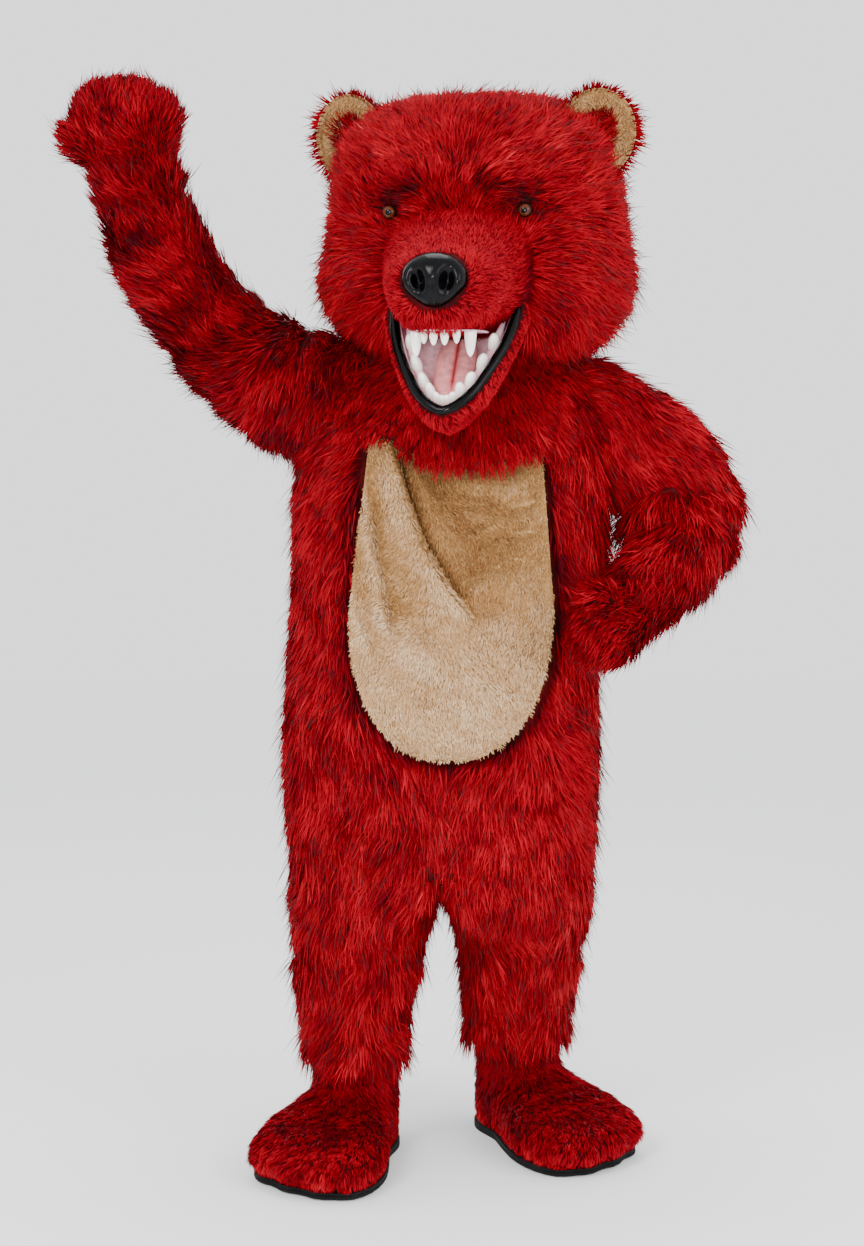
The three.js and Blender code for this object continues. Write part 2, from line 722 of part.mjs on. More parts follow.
function addPiece(name, solid, material) {
  const made = largest(solid).getMesh();
  const places = new Float32Array(made.numVert * 3);
  for (let i = 0; i < made.numVert; i += 1) {
    places.set(made.vertProperties.subarray(i * made.numProp, i * made.numProp + 3), i * 3);
  }
  const geometry = new THREE.BufferGeometry();
  geometry.setAttribute("position", new THREE.BufferAttribute(places, 3));
  geometry.setIndex(new THREE.BufferAttribute(new Uint32Array(made.triVerts), 1));
  geometry.computeVertexNormals();
  const mesh = new THREE.Mesh(geometry, materials[material]);
  mesh.name = name;
  costume.add(mesh);
}

// Spaces that the neighbours are cut by
const body = filled(torsoSurface, { ...count.body, grow: seam });
const sides = ["right", "left"];
const sleeveSurfaces = {};
const sleeveSpace = {};
for (const side of sides) {
  sleeveSurfaces[side] = (u, v) => sleeveSurface(side, u, v);
  sleeveSpace[side] = filled(sleeveSurfaces[side], { ...count.sleeve, grow: seam });
}
// The cloth of a tube with a seam's gap round it, to trim what lies against its inside
function clothSpace(surface, options) {
  const away = options.flip ? -seam : seam;
  const grown = (u, v) => surface(u, v).addScaledVector(outward(surface, u, v), away);
  return wall(grown, { ...options, thick: furCloth + 2 * seam });
}
const headSpace = filled(headSurface, { ...count.head, grow: seam });
const muzzleSpace = filled(muzzleSurface, { ...count.muzzle, grow: seam });
const jawSpace = filled(loft(jawRows), { ...count.jaw, grow: seam });
const mouthSpace = filled(loft(liningRows), { ...count.jaw, grow: seam, flip: true });
const withoutSleeves = (solid) => sides.reduce((rest, side) => rest.subtract(sleeveSpace[side]), solid);

// The belly's outline pushed out to a prism
function bellyPrism() {
  const rows = count.belly.along;
  const edge = [];
  for (const hand of [1, -1]) {
    for (let row = 0; row <= rows; row += 1) {
      const share = hand > 0 ? row / rows : 1 - row / rows;
      const height = belly.low + (belly.top - belly.low) * share ** 1.5;
      const across = bellyMiddle(height) + hand * bellyHalf(height);
      edge.push(new THREE.Vector2(across, height));
    }
  }
  edge.pop();
  const geometry = new THREE.ExtrudeGeometry(new THREE.Shape(edge), {
    depth: 400,
    bevelEnabled: false,
  });
  geometry.rotateX(Math.PI / 2);
  return solidOf(geometry);
}

// Suit: front, belly panel, two backs and the zip between them
const girth = 1600;
const sideGap = seam / 2 / girth;
const zipShare = zipWidth / 2 / girth;
const bodyHalf = { round: count.body.round / 2, along: count.body.along, thick: furCloth };
const frontWall = wall(torsoSurface, { ...bodyHalf, from: 0.5 + sideGap, to: 1 - sideGap });
addPiece("suit_front", withoutSleeves(frontWall).subtract(bellyPrism()), "redFur");
const bellyWall = wall(bellySurface, { ...count.belly, thick: furCloth, sheet: true });
addPiece("belly_panel", bellyWall, "tanPlush");
const backShares = {
  left: { from: sideGap, to: 0.25 - zipShare },
  right: { from: 0.25 + zipShare, to: 0.5 - sideGap },
};
for (const side of sides) {
  const back = wall(torsoSurface, { ...bodyHalf, round: bodyHalf.round / 2, ...backShares[side] });
  addPiece(`suit_back_${side}`, withoutSleeves(back), "redFur");
}
const tapeShare = zipShare - 2 * sideGap;
const tape = wall(torsoSurface, {
  round: 2,
  along: count.body.along,
  thick: 2,
  from: 0.25 - tapeShare,
  to: 0.25 + tapeShare,
});
addPiece("zip_tape", tape, "zipTape");
const sliderSurface = (u, v) => torsoSurface(u, v, slider.thick + 2 * seam);
const sliderWall = wall(sliderSurface, {
  round: 1,
  along: 1,
  thick: slider.thick,
  from: 0.25 - slider.wide / 2 / girth,
  to: 0.25 + slider.wide / 2 / girth,
  start: shareAt(torsoRows, "height", slider.height),
  end: shareAt(torsoRows, "height", slider.height + slider.long),
});
addPiece("zip_slider", sliderWall, "zipMetal");

// Legs, each from a front and a back that meet at the outer and the inner seam
for (const side of sides) {
  const surface = (u, v) => legSurface(side, u, v);
  const legWall = { ...count.legHalf, thick: furCloth, start: 0.002, flip: true };
  const gap = seam / 800;
  addPiece(`leg_${side}_back`, wall(surface, { ...legWall, from: gap, to: 0.5 - gap }), "redFur");
  addPiece(`leg_${side}_front`, wall(surface, { ...legWall, from: 0.5 + gap, to: 1 - gap }), "redFur");
}

// Sleeves, each from a front and a back
for (const side of sides) {
  const { round, along } = count.sleeve;
  const sleeveWall = { round: round / 2, along, thick: furCloth };
  const gap = seam / 600;
  const shares = { back: [gap, 0.5 - gap], front: [0.5 + gap, 1 - gap] };
  for (const [name, [from, to]] of Object.entries(shares)) {
    const made = wall(sleeveSurfaces[side], { ...sleeveWall, from, to });
    addPiece(`sleeve_${side}_${name}`, made.subtract(body), "redFur");
  }
}

// Mitts with their thumbs
for (const side of sides) {
  const surface = (u, v) => mittSurface(side, u, v);
  const thumb = (u, v) => roundLine(thumbRows[side], u, v);
  const mittWall = wall(surface, { ...count.mitt, thick: furCloth, tip: true });
  const thumbSpace = filled(thumb, { ...count.thumb, grow: seam });
  const mittSpace = filled(surface, { ...count.mitt, grow: seam });
  const sleeveCloth = clothSpace(sleeveSurfaces[side], count.sleeve);
  addPiece(`mitt_${side}`, mittWall.subtract(thumbSpace).subtract(sleeveCloth), "redFur");
  const thumbWall = wall(thumb, { ...count.thumb, thick: furCloth, tip: true });
  addPiece(`thumb_${side}`, thumbWall.subtract(mittSpace), "redFur");
}

// Feet: a fur upper on a flat sole
for (const side of sides) {
  const surface = (u, v) => footSurface(side, u, v);
  const legRing = { round: 2 * count.legHalf.round, along: count.legHalf.along, flip: true };
  const legCloth = clothSpace((u, v) => legSurface(side, u, v), legRing);
  const upper = wall(surface, { ...count.foot, thick: furCloth });
  addPiece(`foot_${side}_upper`, upper.subtract(legCloth), "redFur");
  const outline = [];
  for (let step = 0; step < count.foot.round; step += 1) {
    const edge = footPoint(side, -180 + (step * 360) / count.foot.round, 0, 0.955);
    outline.push(new THREE.Vector2(edge.x, edge.y));
  }
  const slab = new THREE.ExtrudeGeometry(new THREE.Shape(outline), {
    depth: soleThick,
    bevelEnabled: false,
  });
  addPiece(`foot_${side}_sole`, solidOf(slab), "soleFoam");
}

// Neck flap that hangs from the head over the suit, in a front and a back
function flapSurface(u, v) {
  const toFront = Math.max(0, -Math.sin(2 * Math.PI * u));
  const toBack = Math.max(0, Math.sin(2 * Math.PI * u));
  const edge = flap.side - flap.frontDrop * toFront ** 1.6 - flap.backDrop * toBack ** 1.6;
  const height = THREE.MathUtils.lerp(edge, neckTop - 4, v);
  return torsoSurface(u, shareAt(torsoRows, "height", height), flapStandOff);
}
const flapRing = { round: 2 * count.flapHalf.round, along: count.flapHalf.along };
const flapSpace = filled(flapSurface, { ...flapRing, grow: 2 * seam });
for (const [name, from] of Object.entries({ front: 0.5, back: 0 })) {
  const gap = seam / 800;
  const half = { ...count.flapHalf, thick: furCloth, from: from + gap, to: from + 0.5 - gap };
  addPiece(`neck_flap_${name}`, withoutSleeves(wall(flapSurface, half)), "redFur");
}

// The place on the front of the head at a distance across and a rise
function onFace(x, rise, inset) {
  const row = between(headRows, shareAt(headRows, "rise", rise));
  let out = row.front * (1 - Math.abs(x / row.half) ** row.square) ** (1 / row.square);
  for (const form of faceForms) {
    out += form.push * bell(x - form.x, form.wide) * bell(rise - form.rise, form.tall);
  }
  return toHead(point(x, -out + inset, rise));
}

// Eyes set in holes of the face
const eyeSpaces = [];
for (const side of sides) {
  const place = onFace((side === "right" ? -1 : 1) * eye.x, eye.rise, eye.sunk);
  const ball = (grow) => blob(Array(3).fill(eye.radius + grow), place);
  eyeSpaces.push(ball(seam));
  addPiece(`eye_${side}`, ball(0), "glassEye");
}

// Lips: a round bead along the lower edge of the mouth, from corner to corner
function beadAlong(grow, out, radius, from, to) {
  const rim = (u, v) => {
    const place = THREE.MathUtils.lerp(from, to, v);
    const centre = mouthLoop(place, grow, out);
    const along = mouthLoop(place + 0.004, grow, out).sub(mouthLoop(place - 0.004, grow, out));
    along.normalize();
    const outwards = inMouth(0, 0, 1).sub(inMouth(0, 0, 0));
    const across = along.clone().cross(outwards).normalize();
    const turn = 2 * Math.PI * u;
    const thick = radius * Math.min(1, 0.35 + 6 * Math.min(v, 1 - v));
    return centre
      .addScaledVector(across, thick * Math.cos(turn))
      .addScaledVector(across.clone().cross(along).normalize(), -thick * Math.sin(turn));
  };
  return rim;
}
const lipLine = beadAlong(0, 3, lipRound, lipEnds.from, lipEnds.to);
const lipSpace = filled(lipLine, { ...count.lip, grow: seam });

// Head: a face and a back of one wall, with the muzzle and the jaw let into it
const headGap = seam / 1700;
function headPart(from, cuts) {
  const { round, along } = count.head;
  const shares = { from: from + headGap, to: from + 0.5 - headGap };
  const made = wall(headSurface, { round: round / 2, along, thick: headWall, ...shares });
  const rest = [flapSpace, ...cuts].reduce((left, cut) => left.subtract(cut), made);
  return withoutSleeves(rest);
}
addPiece("head_back", headPart(0, []), "redFur");
addPiece("head_face", headPart(0.5, [muzzleSpace, jawSpace, ...eyeSpaces]), "redFur");
const muzzleWall = wall(muzzleSurface, { ...count.muzzle, thick: 6, tip: true });
addPiece("muzzle", muzzleWall.subtract(headSpace).subtract(mouthSpace), "redFur");
const jawWall = wall(loft(jawRows), { ...count.jaw, thick: 7 });
const jawCuts = [muzzleSpace, lipSpace, flapSpace];
addPiece("jaw", jawCuts.reduce((rest, cut) => rest.subtract(cut), jawWall), "redFur");
addPiece("lips", filled(lipLine, count.lip).subtract(muzzleSpace), "blackRubber");
const liningWall = wall(loft(liningRows), { ...count.jaw, thick: 2, tip: true, flip: true });
const liningCuts = [lipSpace, muzzleSpace];
addPiece("mouth_lining", liningCuts.reduce((rest, cut) => rest.subtract(cut), liningWall), "pinkRubber");

// Palate under the muzzle, with the upper teeth below it
const slab = (outline, low, tall) => {
  const shape = new THREE.Shape(outline.map(([x, reach]) => new THREE.Vector2(x, -reach)));
  const geometry = new THREE.ExtrudeGeometry(shape, { depth: tall, bevelEnabled: false });
  geometry.translate(0, 0, low);
  geometry.rotateZ(headTurn);
  geometry.translate(headCentre.x, headCentre.y, headCentre.z);
  return solidOf(geometry);
};
const palateOutline = [];
for (let step = 0; step <= 12; step += 1) {
  const turn = (Math.PI * step) / 12;
  const x = palate.half * Math.cos(turn);
  palateOutline.push([x, palate.back + palate.deep * power(Math.sin(turn), 0.8)]);
}
const palateSolid = slab(palateOutline, palate.low, palate.tall);
addPiece("palate", palateSolid.subtract(muzzleSpace).subtract(mouthSpace), "pinkRubber");

// A rounded tooth on its root, which stands in a direction and is wide along another
function tooth(root, direction, along, size) {
  const geometry = new THREE.SphereGeometry(0.5, count.tooth.round, count.tooth.along);
  geometry.translate(0, 0.5, 0);
  const spots = geometry.attributes.position;
  for (let i = 0; i < spots.count; i += 1) {
    const narrow = 1 + 0.25 * (1 - 2 * spots.getY(i));
    spots.setXYZ(i, spots.getX(i) * narrow, spots.getY(i), spots.getZ(i) * narrow);
  }
  geometry.scale(size.wide, size.tall, size.thick);
  const across = along.clone().cross(direction).normalize();
  const side = direction.clone().cross(across);
  geometry.applyMatrix4(new THREE.Matrix4().makeBasis(side, direction, across));
  geometry.translate(root.x, root.y, root.z);
  return solidOf(geometry);
}
const joined = (solids) => solids.reduce((sum, next) => sum.add(next));
const palateReach = (x) => palate.back + palate.deep * Math.sqrt(1 - (x / palate.half) ** 2);

// Upper teeth hang from a thin strip under the palate
const upperTop = palate.low - seam;
const upperRow = [];
for (const size of upperTeeth) {
  for (const hand of [-1, 1]) {
    const root = toHead(point(hand * size.x, 16 - palateReach(size.x), upperTop));
    upperRow.push(tooth(root, point(0, 0, -1), point(1, 0, 0), size));
  }
}
const stripOutline = [];
for (const inset of [-12, -20]) {
  for (let step = 0; step <= 8; step += 1) {
    const x = (inset === -12 ? 1 : -1) * (12.5 * step - 50);
    stripOutline.push([x, palateReach(x) + inset]);
  }
}
upperRow.push(slab(stripOutline, upperTop - 4, 4));
addPiece("upper_teeth", joined(upperRow), "tooth");

// Lower teeth stand on a gum round the inside of the jaw
const gumLine = beadAlong(gum.grow, gum.out, gum.radius, gum.from, gum.to);
addPiece("lower_gum", filled(gumLine, count.gum).subtract(muzzleSpace), "pinkRubber");
const toothLevel = gum.out + gum.radius + seam;
const stripLine = beadAlong(gum.grow, toothLevel + 3, 3, gum.from, gum.to);
const lowerRow = [filled(stripLine, count.strip)];
const awayFromMouth = inMouth(0, 0, 1).sub(inMouth(0, 0, 0)).normalize();
for (const size of lowerTeeth) {
  for (const hand of [-1, 1]) {
    const place = 0.75 + hand * 0.25 * (1 - size.place);
    const root = mouthLoop(place, gum.grow, toothLevel);
    const along = mouthLoop(place + 0.01, gum.grow, 0).sub(mouthLoop(place - 0.01, gum.grow, 0));
    lowerRow.push(tooth(root, awayFromMouth, along, size));
  }
}
addPiece("lower_teeth", joined(lowerRow).subtract(muzzleSpace), "tooth");

// Tongue: a soft tapered tongue with a groove down its middle
function tongueSurface(u, v) {
  const down = THREE.MathUtils.lerp(tongue.start, tongue.end, v);
  const wide = tongue.half * Math.sqrt(Math.max(1 - (1.9 * (v - 0.45)) ** 4, 0.004));
  const turn = 2 * Math.PI * u;
  const groove = 5 * bell(Math.cos(turn), 0.25) * Math.max(0, Math.sin(turn)) * smooth(4 * (1 - v));
  const thick = tongue.thick * Math.sqrt(Math.max(1 - (1.9 * (v - 0.45)) ** 6, 0.02)) - groove;
  return inMouth(wide * Math.cos(turn), down, tongue.out + tongue.lift * v + thick * Math.sin(turn));
}
const mouthHollow = filled(loft(liningRows), { ...count.jaw, grow: -2 - seam, flip: true });
addPiece("tongue", filled(tongueSurface, count.tongue).intersect(mouthHollow), "pinkRubber");

// Nose: a rounded rubber form over the muzzle's end, with two nostrils
const noseBall = new THREE.SphereGeometry(1, count.nose.round, count.nose.along);
noseBall.scale(nose.half, nose.deep, nose.tall);
noseBall.translate(0, -nose.reach, nose.rise);
noseBall.rotateZ(headTurn);
noseBall.translate(headCentre.x, headCentre.y, headCentre.z);
let noseSolid = solidOf(noseBall).subtract(muzzleSpace);
for (const hand of [-1, 1]) {
  const place = toHead(point(hand * nostril.x, -nostril.reach, nostril.rise));
  noseSolid = noseSolid.subtract(blob([nostril.half, nostril.deep, nostril.tall], place));
}
addPiece("nose", noseSolid, "blackRubber");

// Ears: a fur cup with a plush dish in it, turned out and rolled to the side
for (const side of sides) {
  const hand = side === "right" ? -1 : 1;
  const cup = (share, deep) => (u, v) => {
    const [turn, bend] = [2 * Math.PI * u, (Math.PI / 2) * v];
    const local = point(
      ear.half * share * Math.cos(turn) * Math.cos(bend),
      deep * Math.sin(bend),
      ear.tall * share * Math.sin(turn) * Math.cos(bend),
    );
    local.applyAxisAngle(point(0, 1, 0), THREE.MathUtils.degToRad(hand * ear.roll));
    local.applyAxisAngle(up, THREE.MathUtils.degToRad(hand * ear.turn));
    return toHead(local.add(point(hand * ear.x, ear.y, ear.rise)));
  };
  const cuts = { tip: true, flip: true };
  const back = wall(cup(1, ear.deep), { ...count.ear, thick: 5, ...cuts });
  addPiece(`ear_${side}_back`, back.subtract(headSpace), "redFur");
  const dish = wall(cup(earInner.share, earInner.deep), { ...count.ear, thick: 3, ...cuts });
  addPiece(`ear_${side}_inner`, dish.subtract(headSpace), "tanPlush");
}

export default costume;
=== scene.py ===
import math

import bpy
import numpy as np
from mathutils.bvhtree import BVHTree
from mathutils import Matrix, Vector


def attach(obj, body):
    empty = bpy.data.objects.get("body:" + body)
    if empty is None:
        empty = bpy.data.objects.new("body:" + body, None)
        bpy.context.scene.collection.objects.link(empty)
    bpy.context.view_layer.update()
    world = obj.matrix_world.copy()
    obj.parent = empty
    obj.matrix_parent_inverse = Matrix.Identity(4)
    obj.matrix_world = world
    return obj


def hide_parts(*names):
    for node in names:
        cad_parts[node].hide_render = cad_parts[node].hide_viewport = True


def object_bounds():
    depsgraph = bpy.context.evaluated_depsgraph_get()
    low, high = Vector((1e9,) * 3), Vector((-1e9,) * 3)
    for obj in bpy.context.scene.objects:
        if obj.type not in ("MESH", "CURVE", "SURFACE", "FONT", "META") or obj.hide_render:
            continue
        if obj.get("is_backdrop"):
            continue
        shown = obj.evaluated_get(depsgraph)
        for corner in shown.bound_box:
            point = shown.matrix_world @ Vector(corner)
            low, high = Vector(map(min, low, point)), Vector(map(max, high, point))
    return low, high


print("loading the frame")
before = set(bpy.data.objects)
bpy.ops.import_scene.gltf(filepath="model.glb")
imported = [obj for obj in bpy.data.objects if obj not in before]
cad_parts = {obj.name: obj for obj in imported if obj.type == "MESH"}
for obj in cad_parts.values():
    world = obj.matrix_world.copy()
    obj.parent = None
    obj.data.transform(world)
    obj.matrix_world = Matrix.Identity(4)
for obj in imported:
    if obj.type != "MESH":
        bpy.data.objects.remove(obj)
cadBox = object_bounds()

costume = {
    "shoulders": (42, 0, 1420),  # where the wearer carries the suit: the frame's origin
    "clothThick": 2.5,
    "neckTop": 1498,
    "crotch": 540,
    "headCentre": (66, 0, 1683),
    "headTurn": math.radians(-11),
}
mm = 0.001
sides = ("right", "left")
handOf = {"right": -1, "left": 1}  # the sign of X on the wearer's right and left


# Basic functions
def smooth(value):
    # 3t² - 2t³ of the value held between 0 and 1
    t = np.clip(value, 0, 1)
    return t * t * (3 - 2 * t)


def rising(value, start, end):
    # 0 at the start and 1 at the end, eased at both
    return smooth((value - start) / (end - start))


def bell(distance, width):
    # e to the minus (distance / width)²
    return np.exp(-((distance / width) ** 2))


def power(value, exponent):
    # a power that keeps the value's sign
    return np.sign(value) * np.abs(value) ** exponent


def unit(vectors):
    # each vector over its own length
    return vectors / np.maximum(np.linalg.norm(vectors, axis=-1, keepdims=True), 1e-9)


def stack(x, y, z):
    # three arrays of coordinates as one array of places
    return np.stack(np.broadcast_arrays(x, y, z), axis=-1).astype(float)


def dot(a, b):
    return (a * b).sum(-1, keepdims=True)


def table(columns, *rows):
    # rows of numbers under named columns
    names = columns.split()
    return {name: np.array([row[i] for row in rows], float) for i, name in enumerate(names)}


def rowsAt(rows, share):
    # every column at a share of the table's length, on a smooth curve through its rows
    last = len(next(iter(rows.values()))) - 1
    place = np.clip(share, 0, 1) * last
    first = np.minimum(place.astype(int), last - 1)
    t = place - first
    found = {}
    for name, column in rows.items():
        a, b, c, d = (column[np.clip(first + k, 0, last)] for k in (-1, 0, 1, 2))
        bend = 2 * a - 5 * b + 4 * c - d
        twist = 3 * b - a - 3 * c + d
        found[name] = b + 0.5 * t * (c - a + t * (bend + t * twist))
    return found


def shareAt(rows, name, value):
    # the share of the table's length where a column reaches a value
    shares = np.linspace(0, 1, 801)
    reached = rowsAt(rows, shares)[name]
    order = np.argsort(reached)
    return np.interp(value, reached[order], shares[order])


def outward(surface, u, v, step=0.003):
    # the cross product of the surface's steps round and along
    low = np.clip(v, 0, 1 - step)
    around = surface(u + step, low) - surface(u - step, low)
    return unit(np.cross(around, surface(u, low + step) - surface(u, low)))


def inset(surface, depth, flip=False, step=0.003):
    # the same surface, moved in along its own outward direction
    away = depth if flip else -depth
    return lambda u, v: surface(u, v) + away * outward(surface, u, v, step)


def ripple(points, size, seed):
    # slow noise from about -1 to 1: ten cosine waves of random headings, about as long as size
    rng = np.random.default_rng(seed)
    headings = unit(rng.normal(size=(10, 3))) / (size * rng.uniform(0.7, 1.5, (10, 1)))
    waves = points @ (2 * math.pi * headings).T + rng.uniform(0, 2 * math.pi, 10)
    return np.cos(waves).sum(-1) / 3.2


# Forms of the suit: shares round (u) and along (v) give a place
torsoRows = table(
    "height middle half front back square",
    (540, 2, 284, 186, 184, 2.5),
    (640, 3, 291, 200, 192, 2.5),
    (760, 2, 293, 212, 188, 2.5),
    (880, 4, 289, 214, 178, 2.5),
    (1000, 9, 286, 207, 170, 2.4),
    (1120, 15, 288, 197, 168, 2.4),
    (1230, 22, 292, 187, 168, 2.3),
    (1330, 30, 282, 172, 162, 2.2),
    (1405, 42, 238, 150, 148, 2.1),
    (1455, 52, 176, 126, 128, 2),
    (1498, 58, 128, 106, 110, 2),
)
legRows = {
    "right": table(
        "height x y half front back",
        (540, -142, 0, 142, 186, 184),
        (480, -143, 0, 139, 172, 172),
        (410, -148, -2, 131, 150, 152),
        (340, -153, -6, 123, 134, 136),
        (265, -158, -12, 110, 120, 122),
        (190, -156, -18, 104, 112, 114),
    ),
    "left": table(
        "height x y half front back",
        (540, 144, 0, 142, 186, 184),
        (480, 146, 18, 139, 174, 170),
        (410, 151, 42, 127, 152, 150),
        (340, 150, 66, 119, 136, 134),
        (265, 148, 90, 111, 120, 120),
        (190, 147, 108, 105, 112, 112),
    ),
}
# centre line and half sizes of each sleeve, from inside the shoulder to the cuff
sleeveRows = {
    "right": table(
        "x y z across depth",
        (-110, 8, 1362, 112, 100),
        (-215, 4, 1392, 126, 108),
        (-305, -6, 1432, 119, 108),
        (-385, -22, 1487, 105, 102),
        (-445, -42, 1556, 97, 97),
        (-490, -60, 1632, 95, 93),
        (-522, -76, 1706, 91, 90),
        (-543, -88, 1780, 86, 86),
    ),
    "left": table(
        "x y z across depth",
        (130, 4, 1352, 116, 100),
        (238, 8, 1345, 128, 108),
        (335, 14, 1310, 121, 108),
        (413, 20, 1254, 113, 104),
        (459, 12, 1190, 108, 100),
        (454, -22, 1132, 95, 92),
        (422, -68, 1088, 84, 84),
        (380, -112, 1052, 78, 78),
        (345, -144, 1024, 75, 72),
    ),
}
# soft rolls of cloth round the sleeves: place along and width as shares, depth in millimetres
sleeveFolds = {
    "right": ((0.2, 8, 0.035), (0.29, 7, 0.03), (0.38, 9, 0.035), (0.5, 6, 0.03), (0.88, 6, 0.025)),
    "left": ((0.24, 7, 0.04), (0.46, 9, 0.035), (0.56, 10, 0.03), (0.68, 7, 0.03)),
}
mittRows = {
    "right": table(
        "x y z across depth",
        (-532, -82, 1736, 84.6, 84),
        (-537, -84, 1756, 74, 72),
        (-543, -88, 1778, 74, 70),
        (-550, -93, 1815, 88, 72),
        (-556, -99, 1855, 103, 76),
        (-558, -104, 1893, 101, 74),
        (-558, -108, 1924, 82, 60),
        (-557, -110, 1944, 46, 34),
        (-557, -110, 1949, 10, 8),
    ),
    "left": table(
        "x y z across depth",
        (372, -120, 1046, 73.8, 73.1),
        (358, -133, 1035, 64, 60),
        (342, -148, 1022, 64, 58),
        (316, -176, 1002, 72, 56),
        (293, -203, 984, 75, 52),
        (272, -224, 968, 69, 46),
        (254, -238, 955, 52, 36),
        (244, -244, 948, 29, 20),
        (240, -246, 945, 8, 6),
    ),
}
thumbRows = {
    "right": table(
        "x y z across depth",
        (-596, -104, 1808, 30, 32),
        (-622, -112, 1828, 36, 36),
        (-646, -118, 1846, 32, 32),
        (-662, -121, 1858, 18, 18),
        (-666, -122, 1861, 5, 5),
    ),
    "left": table(
        "x y z across depth",
        (318, -196, 1022, 24, 24),
        (292, -218, 1034, 27, 26),
        (266, -232, 1038, 24, 24),
        (251, -238, 1038, 14, 14),
        (247, -239, 1038, 5, 5),
    ),
}
# a foot from above: how far its edge is from the ankle, by the angle from the toes
footEdge = table(
    "angle reach",
    (-180, 90), (-135, 86), (-90, 88), (-60, 104), (-44, 142), (-29, 226), (-18, 293), (-4, 318),
    (8, 350), (18, 374), (26, 336), (34, 228), (48, 124), (70, 90), (100, 80), (140, 82), (180, 90),
)
footRows = table(
    "height spread",
    (14.3, 0.97), (42, 1.03), (68, 0.98), (92, 0.76), (112, 0.38), (136, 0.1), (175, 0.01), (240, 0),
)
feet = {"right": (-156, -22, -20), "left": (148, 106, 31)}  # ankle's x and y, and how it turns
foot = {"ankle": 74, "hemInset": 3.7, "toeGrooves": (-8, 5, 15), "soleThick": 14}
flap = {"standOff": 9, "side": 1432, "frontDrop": 158, "backDrop": 80, "hang": 1.6, "topGap": 4}
flap |= {"pile": 7, "size": (56, 24)}
flapLift = {"rise": 24, "place": 0.693, "wide": 0.024}  # over the belly's upper left corner
legForm = {"blend": 150, "round": 0.95, "folds": ((372, 16, 6), (232, 12, 5))}


def sectionRound(turn, half, front, back, square):
    # a superellipse: cosine and sine to the power 2 / square, with its own depth front and back
    depth = np.where(np.sin(turn) < 0, front, back)
    return half * power(np.cos(turn), 2 / square), depth * power(np.sin(turn), 2 / square)


# creases of the body's cloth: lines in x and height that push it out (+) or in (-)
bodyCreases = {
    "front": (
        (-262, 1290, -190, 1180, -9, 20), (-270, 1230, -215, 1120, 7, 22),
        (262, 1235, 214, 1120, -9, 22), (276, 1060, 226, 1000, -7, 20),
        (-250, 700, -120, 610, -8, 26), (-205, 640, -60, 575, 7, 24),
        (236, 720, 120, 625, -8, 24), (190, 650, 70, 580, 6, 24), (0, 690, 4, 545, -8, 26),
    ),
    "back": (
        (-250, 1280, -170, 1150, -9, 24), (250, 1290, 180, 1180, -8, 24),
        (-230, 1010, -90, 985, -8, 22), (-60, 960, 120, 972, -9, 24), (240, 1030, 130, 1000, -7, 22),
        (-200, 700, -70, 590, -8, 26), (210, 700, 80, 600, -8, 26), (0, 680, 0, 545, -9, 24),
    ),
}


def foldPush(x, z, fold):
    # a soft ridge or trough: full on its line from (x0, z0) to (x1, z1), and faded at its ends
    x0, z0, x1, z1, push, wide = fold
    dx, dz = x1 - x0, z1 - z0
    long = math.hypot(dx, dz)
    share = ((x - x0) * dx + (z - z0) * dz) / long**2
    off = ((x - x0) * dz - (z - z0) * dx) / long
    return push * smooth((share + 0.15) / 0.3) * smooth((1.12 - share) / 0.3) * bell(off, wide)


def torsoSurface(u, v, moved=0):
    row = rowsAt(torsoRows, v)
    x, y = sectionRound(
        2 * math.pi * u, row["half"] + moved, row["front"] + moved, row["back"] + moved, row["square"]
    )
    pushed = np.zeros_like(x)
    for name, lines in bodyCreases.items():
        facing = y < 0 if name == "front" else y > 0
        for line in lines:
            pushed += facing * foldPush(x + row["middle"], row["height"], line)
    steep = smooth(np.abs(y) / 60)
    return stack(row["middle"] + x, y + np.sign(y) * pushed * steep, row["height"])


def legSurface(side, u, v):
    # half of the body's section at the top, which turns into an ellipse lower down. Folds ring
    # the knee and the shin: height, width and push
    row = rowsAt(legRows[side], v)
    turn = 2 * math.pi * u
    body = rowsAt(torsoRows, 0.0)
    outwardSide = handOf[side]
    outer = np.maximum(0, outwardSide * np.cos(turn)) ** (2 / body["square"])
    _, bodyY = sectionRound(turn, body["half"], body["front"], body["back"], body["square"])
    bodyX = body["middle"] + outwardSide * body["half"] * outer
    depth = np.where(np.sin(turn) < 0, row["front"], row["back"])
    roundX = row["x"] + row["half"] * np.cos(turn)
    roundY = row["y"] + depth * power(np.sin(turn), legForm["round"])
    share = smooth((costume["crotch"] - row["height"]) / legForm["blend"])
    pushes = (push * bell(row["height"] - height, wide) for height, wide, push in legForm["folds"])
    knee = sum(pushes) * (0.6 + 0.4 * np.sin(3 * turn + outwardSide))
    x = bodyX + (roundX - bodyX) * share
    y = bodyY + (roundY - bodyY) * share
    inwards = unit(stack(row["x"] - x, row["y"] - y, 0 * x))
    return stack(x, y, row["height"]) + inwards * (knee * share)[..., None]


def lineFrame(rows, v):
    # a centre line's place, its heading, and the two directions across it
    row = rowsAt(rows, v)
    before = rowsAt(rows, np.clip(v, 0.01, 1) - 0.01)
    after = rowsAt(rows, np.clip(v, 0, 0.99) + 0.01)
    along = unit(stack(*(after[k] - before[k] for k in "xyz")))
    across = unit(np.cross(np.array([0.0, 1.0, 0.0]), along))
    return row, stack(row["x"], row["y"], row["z"]), along, across, np.cross(along, across)


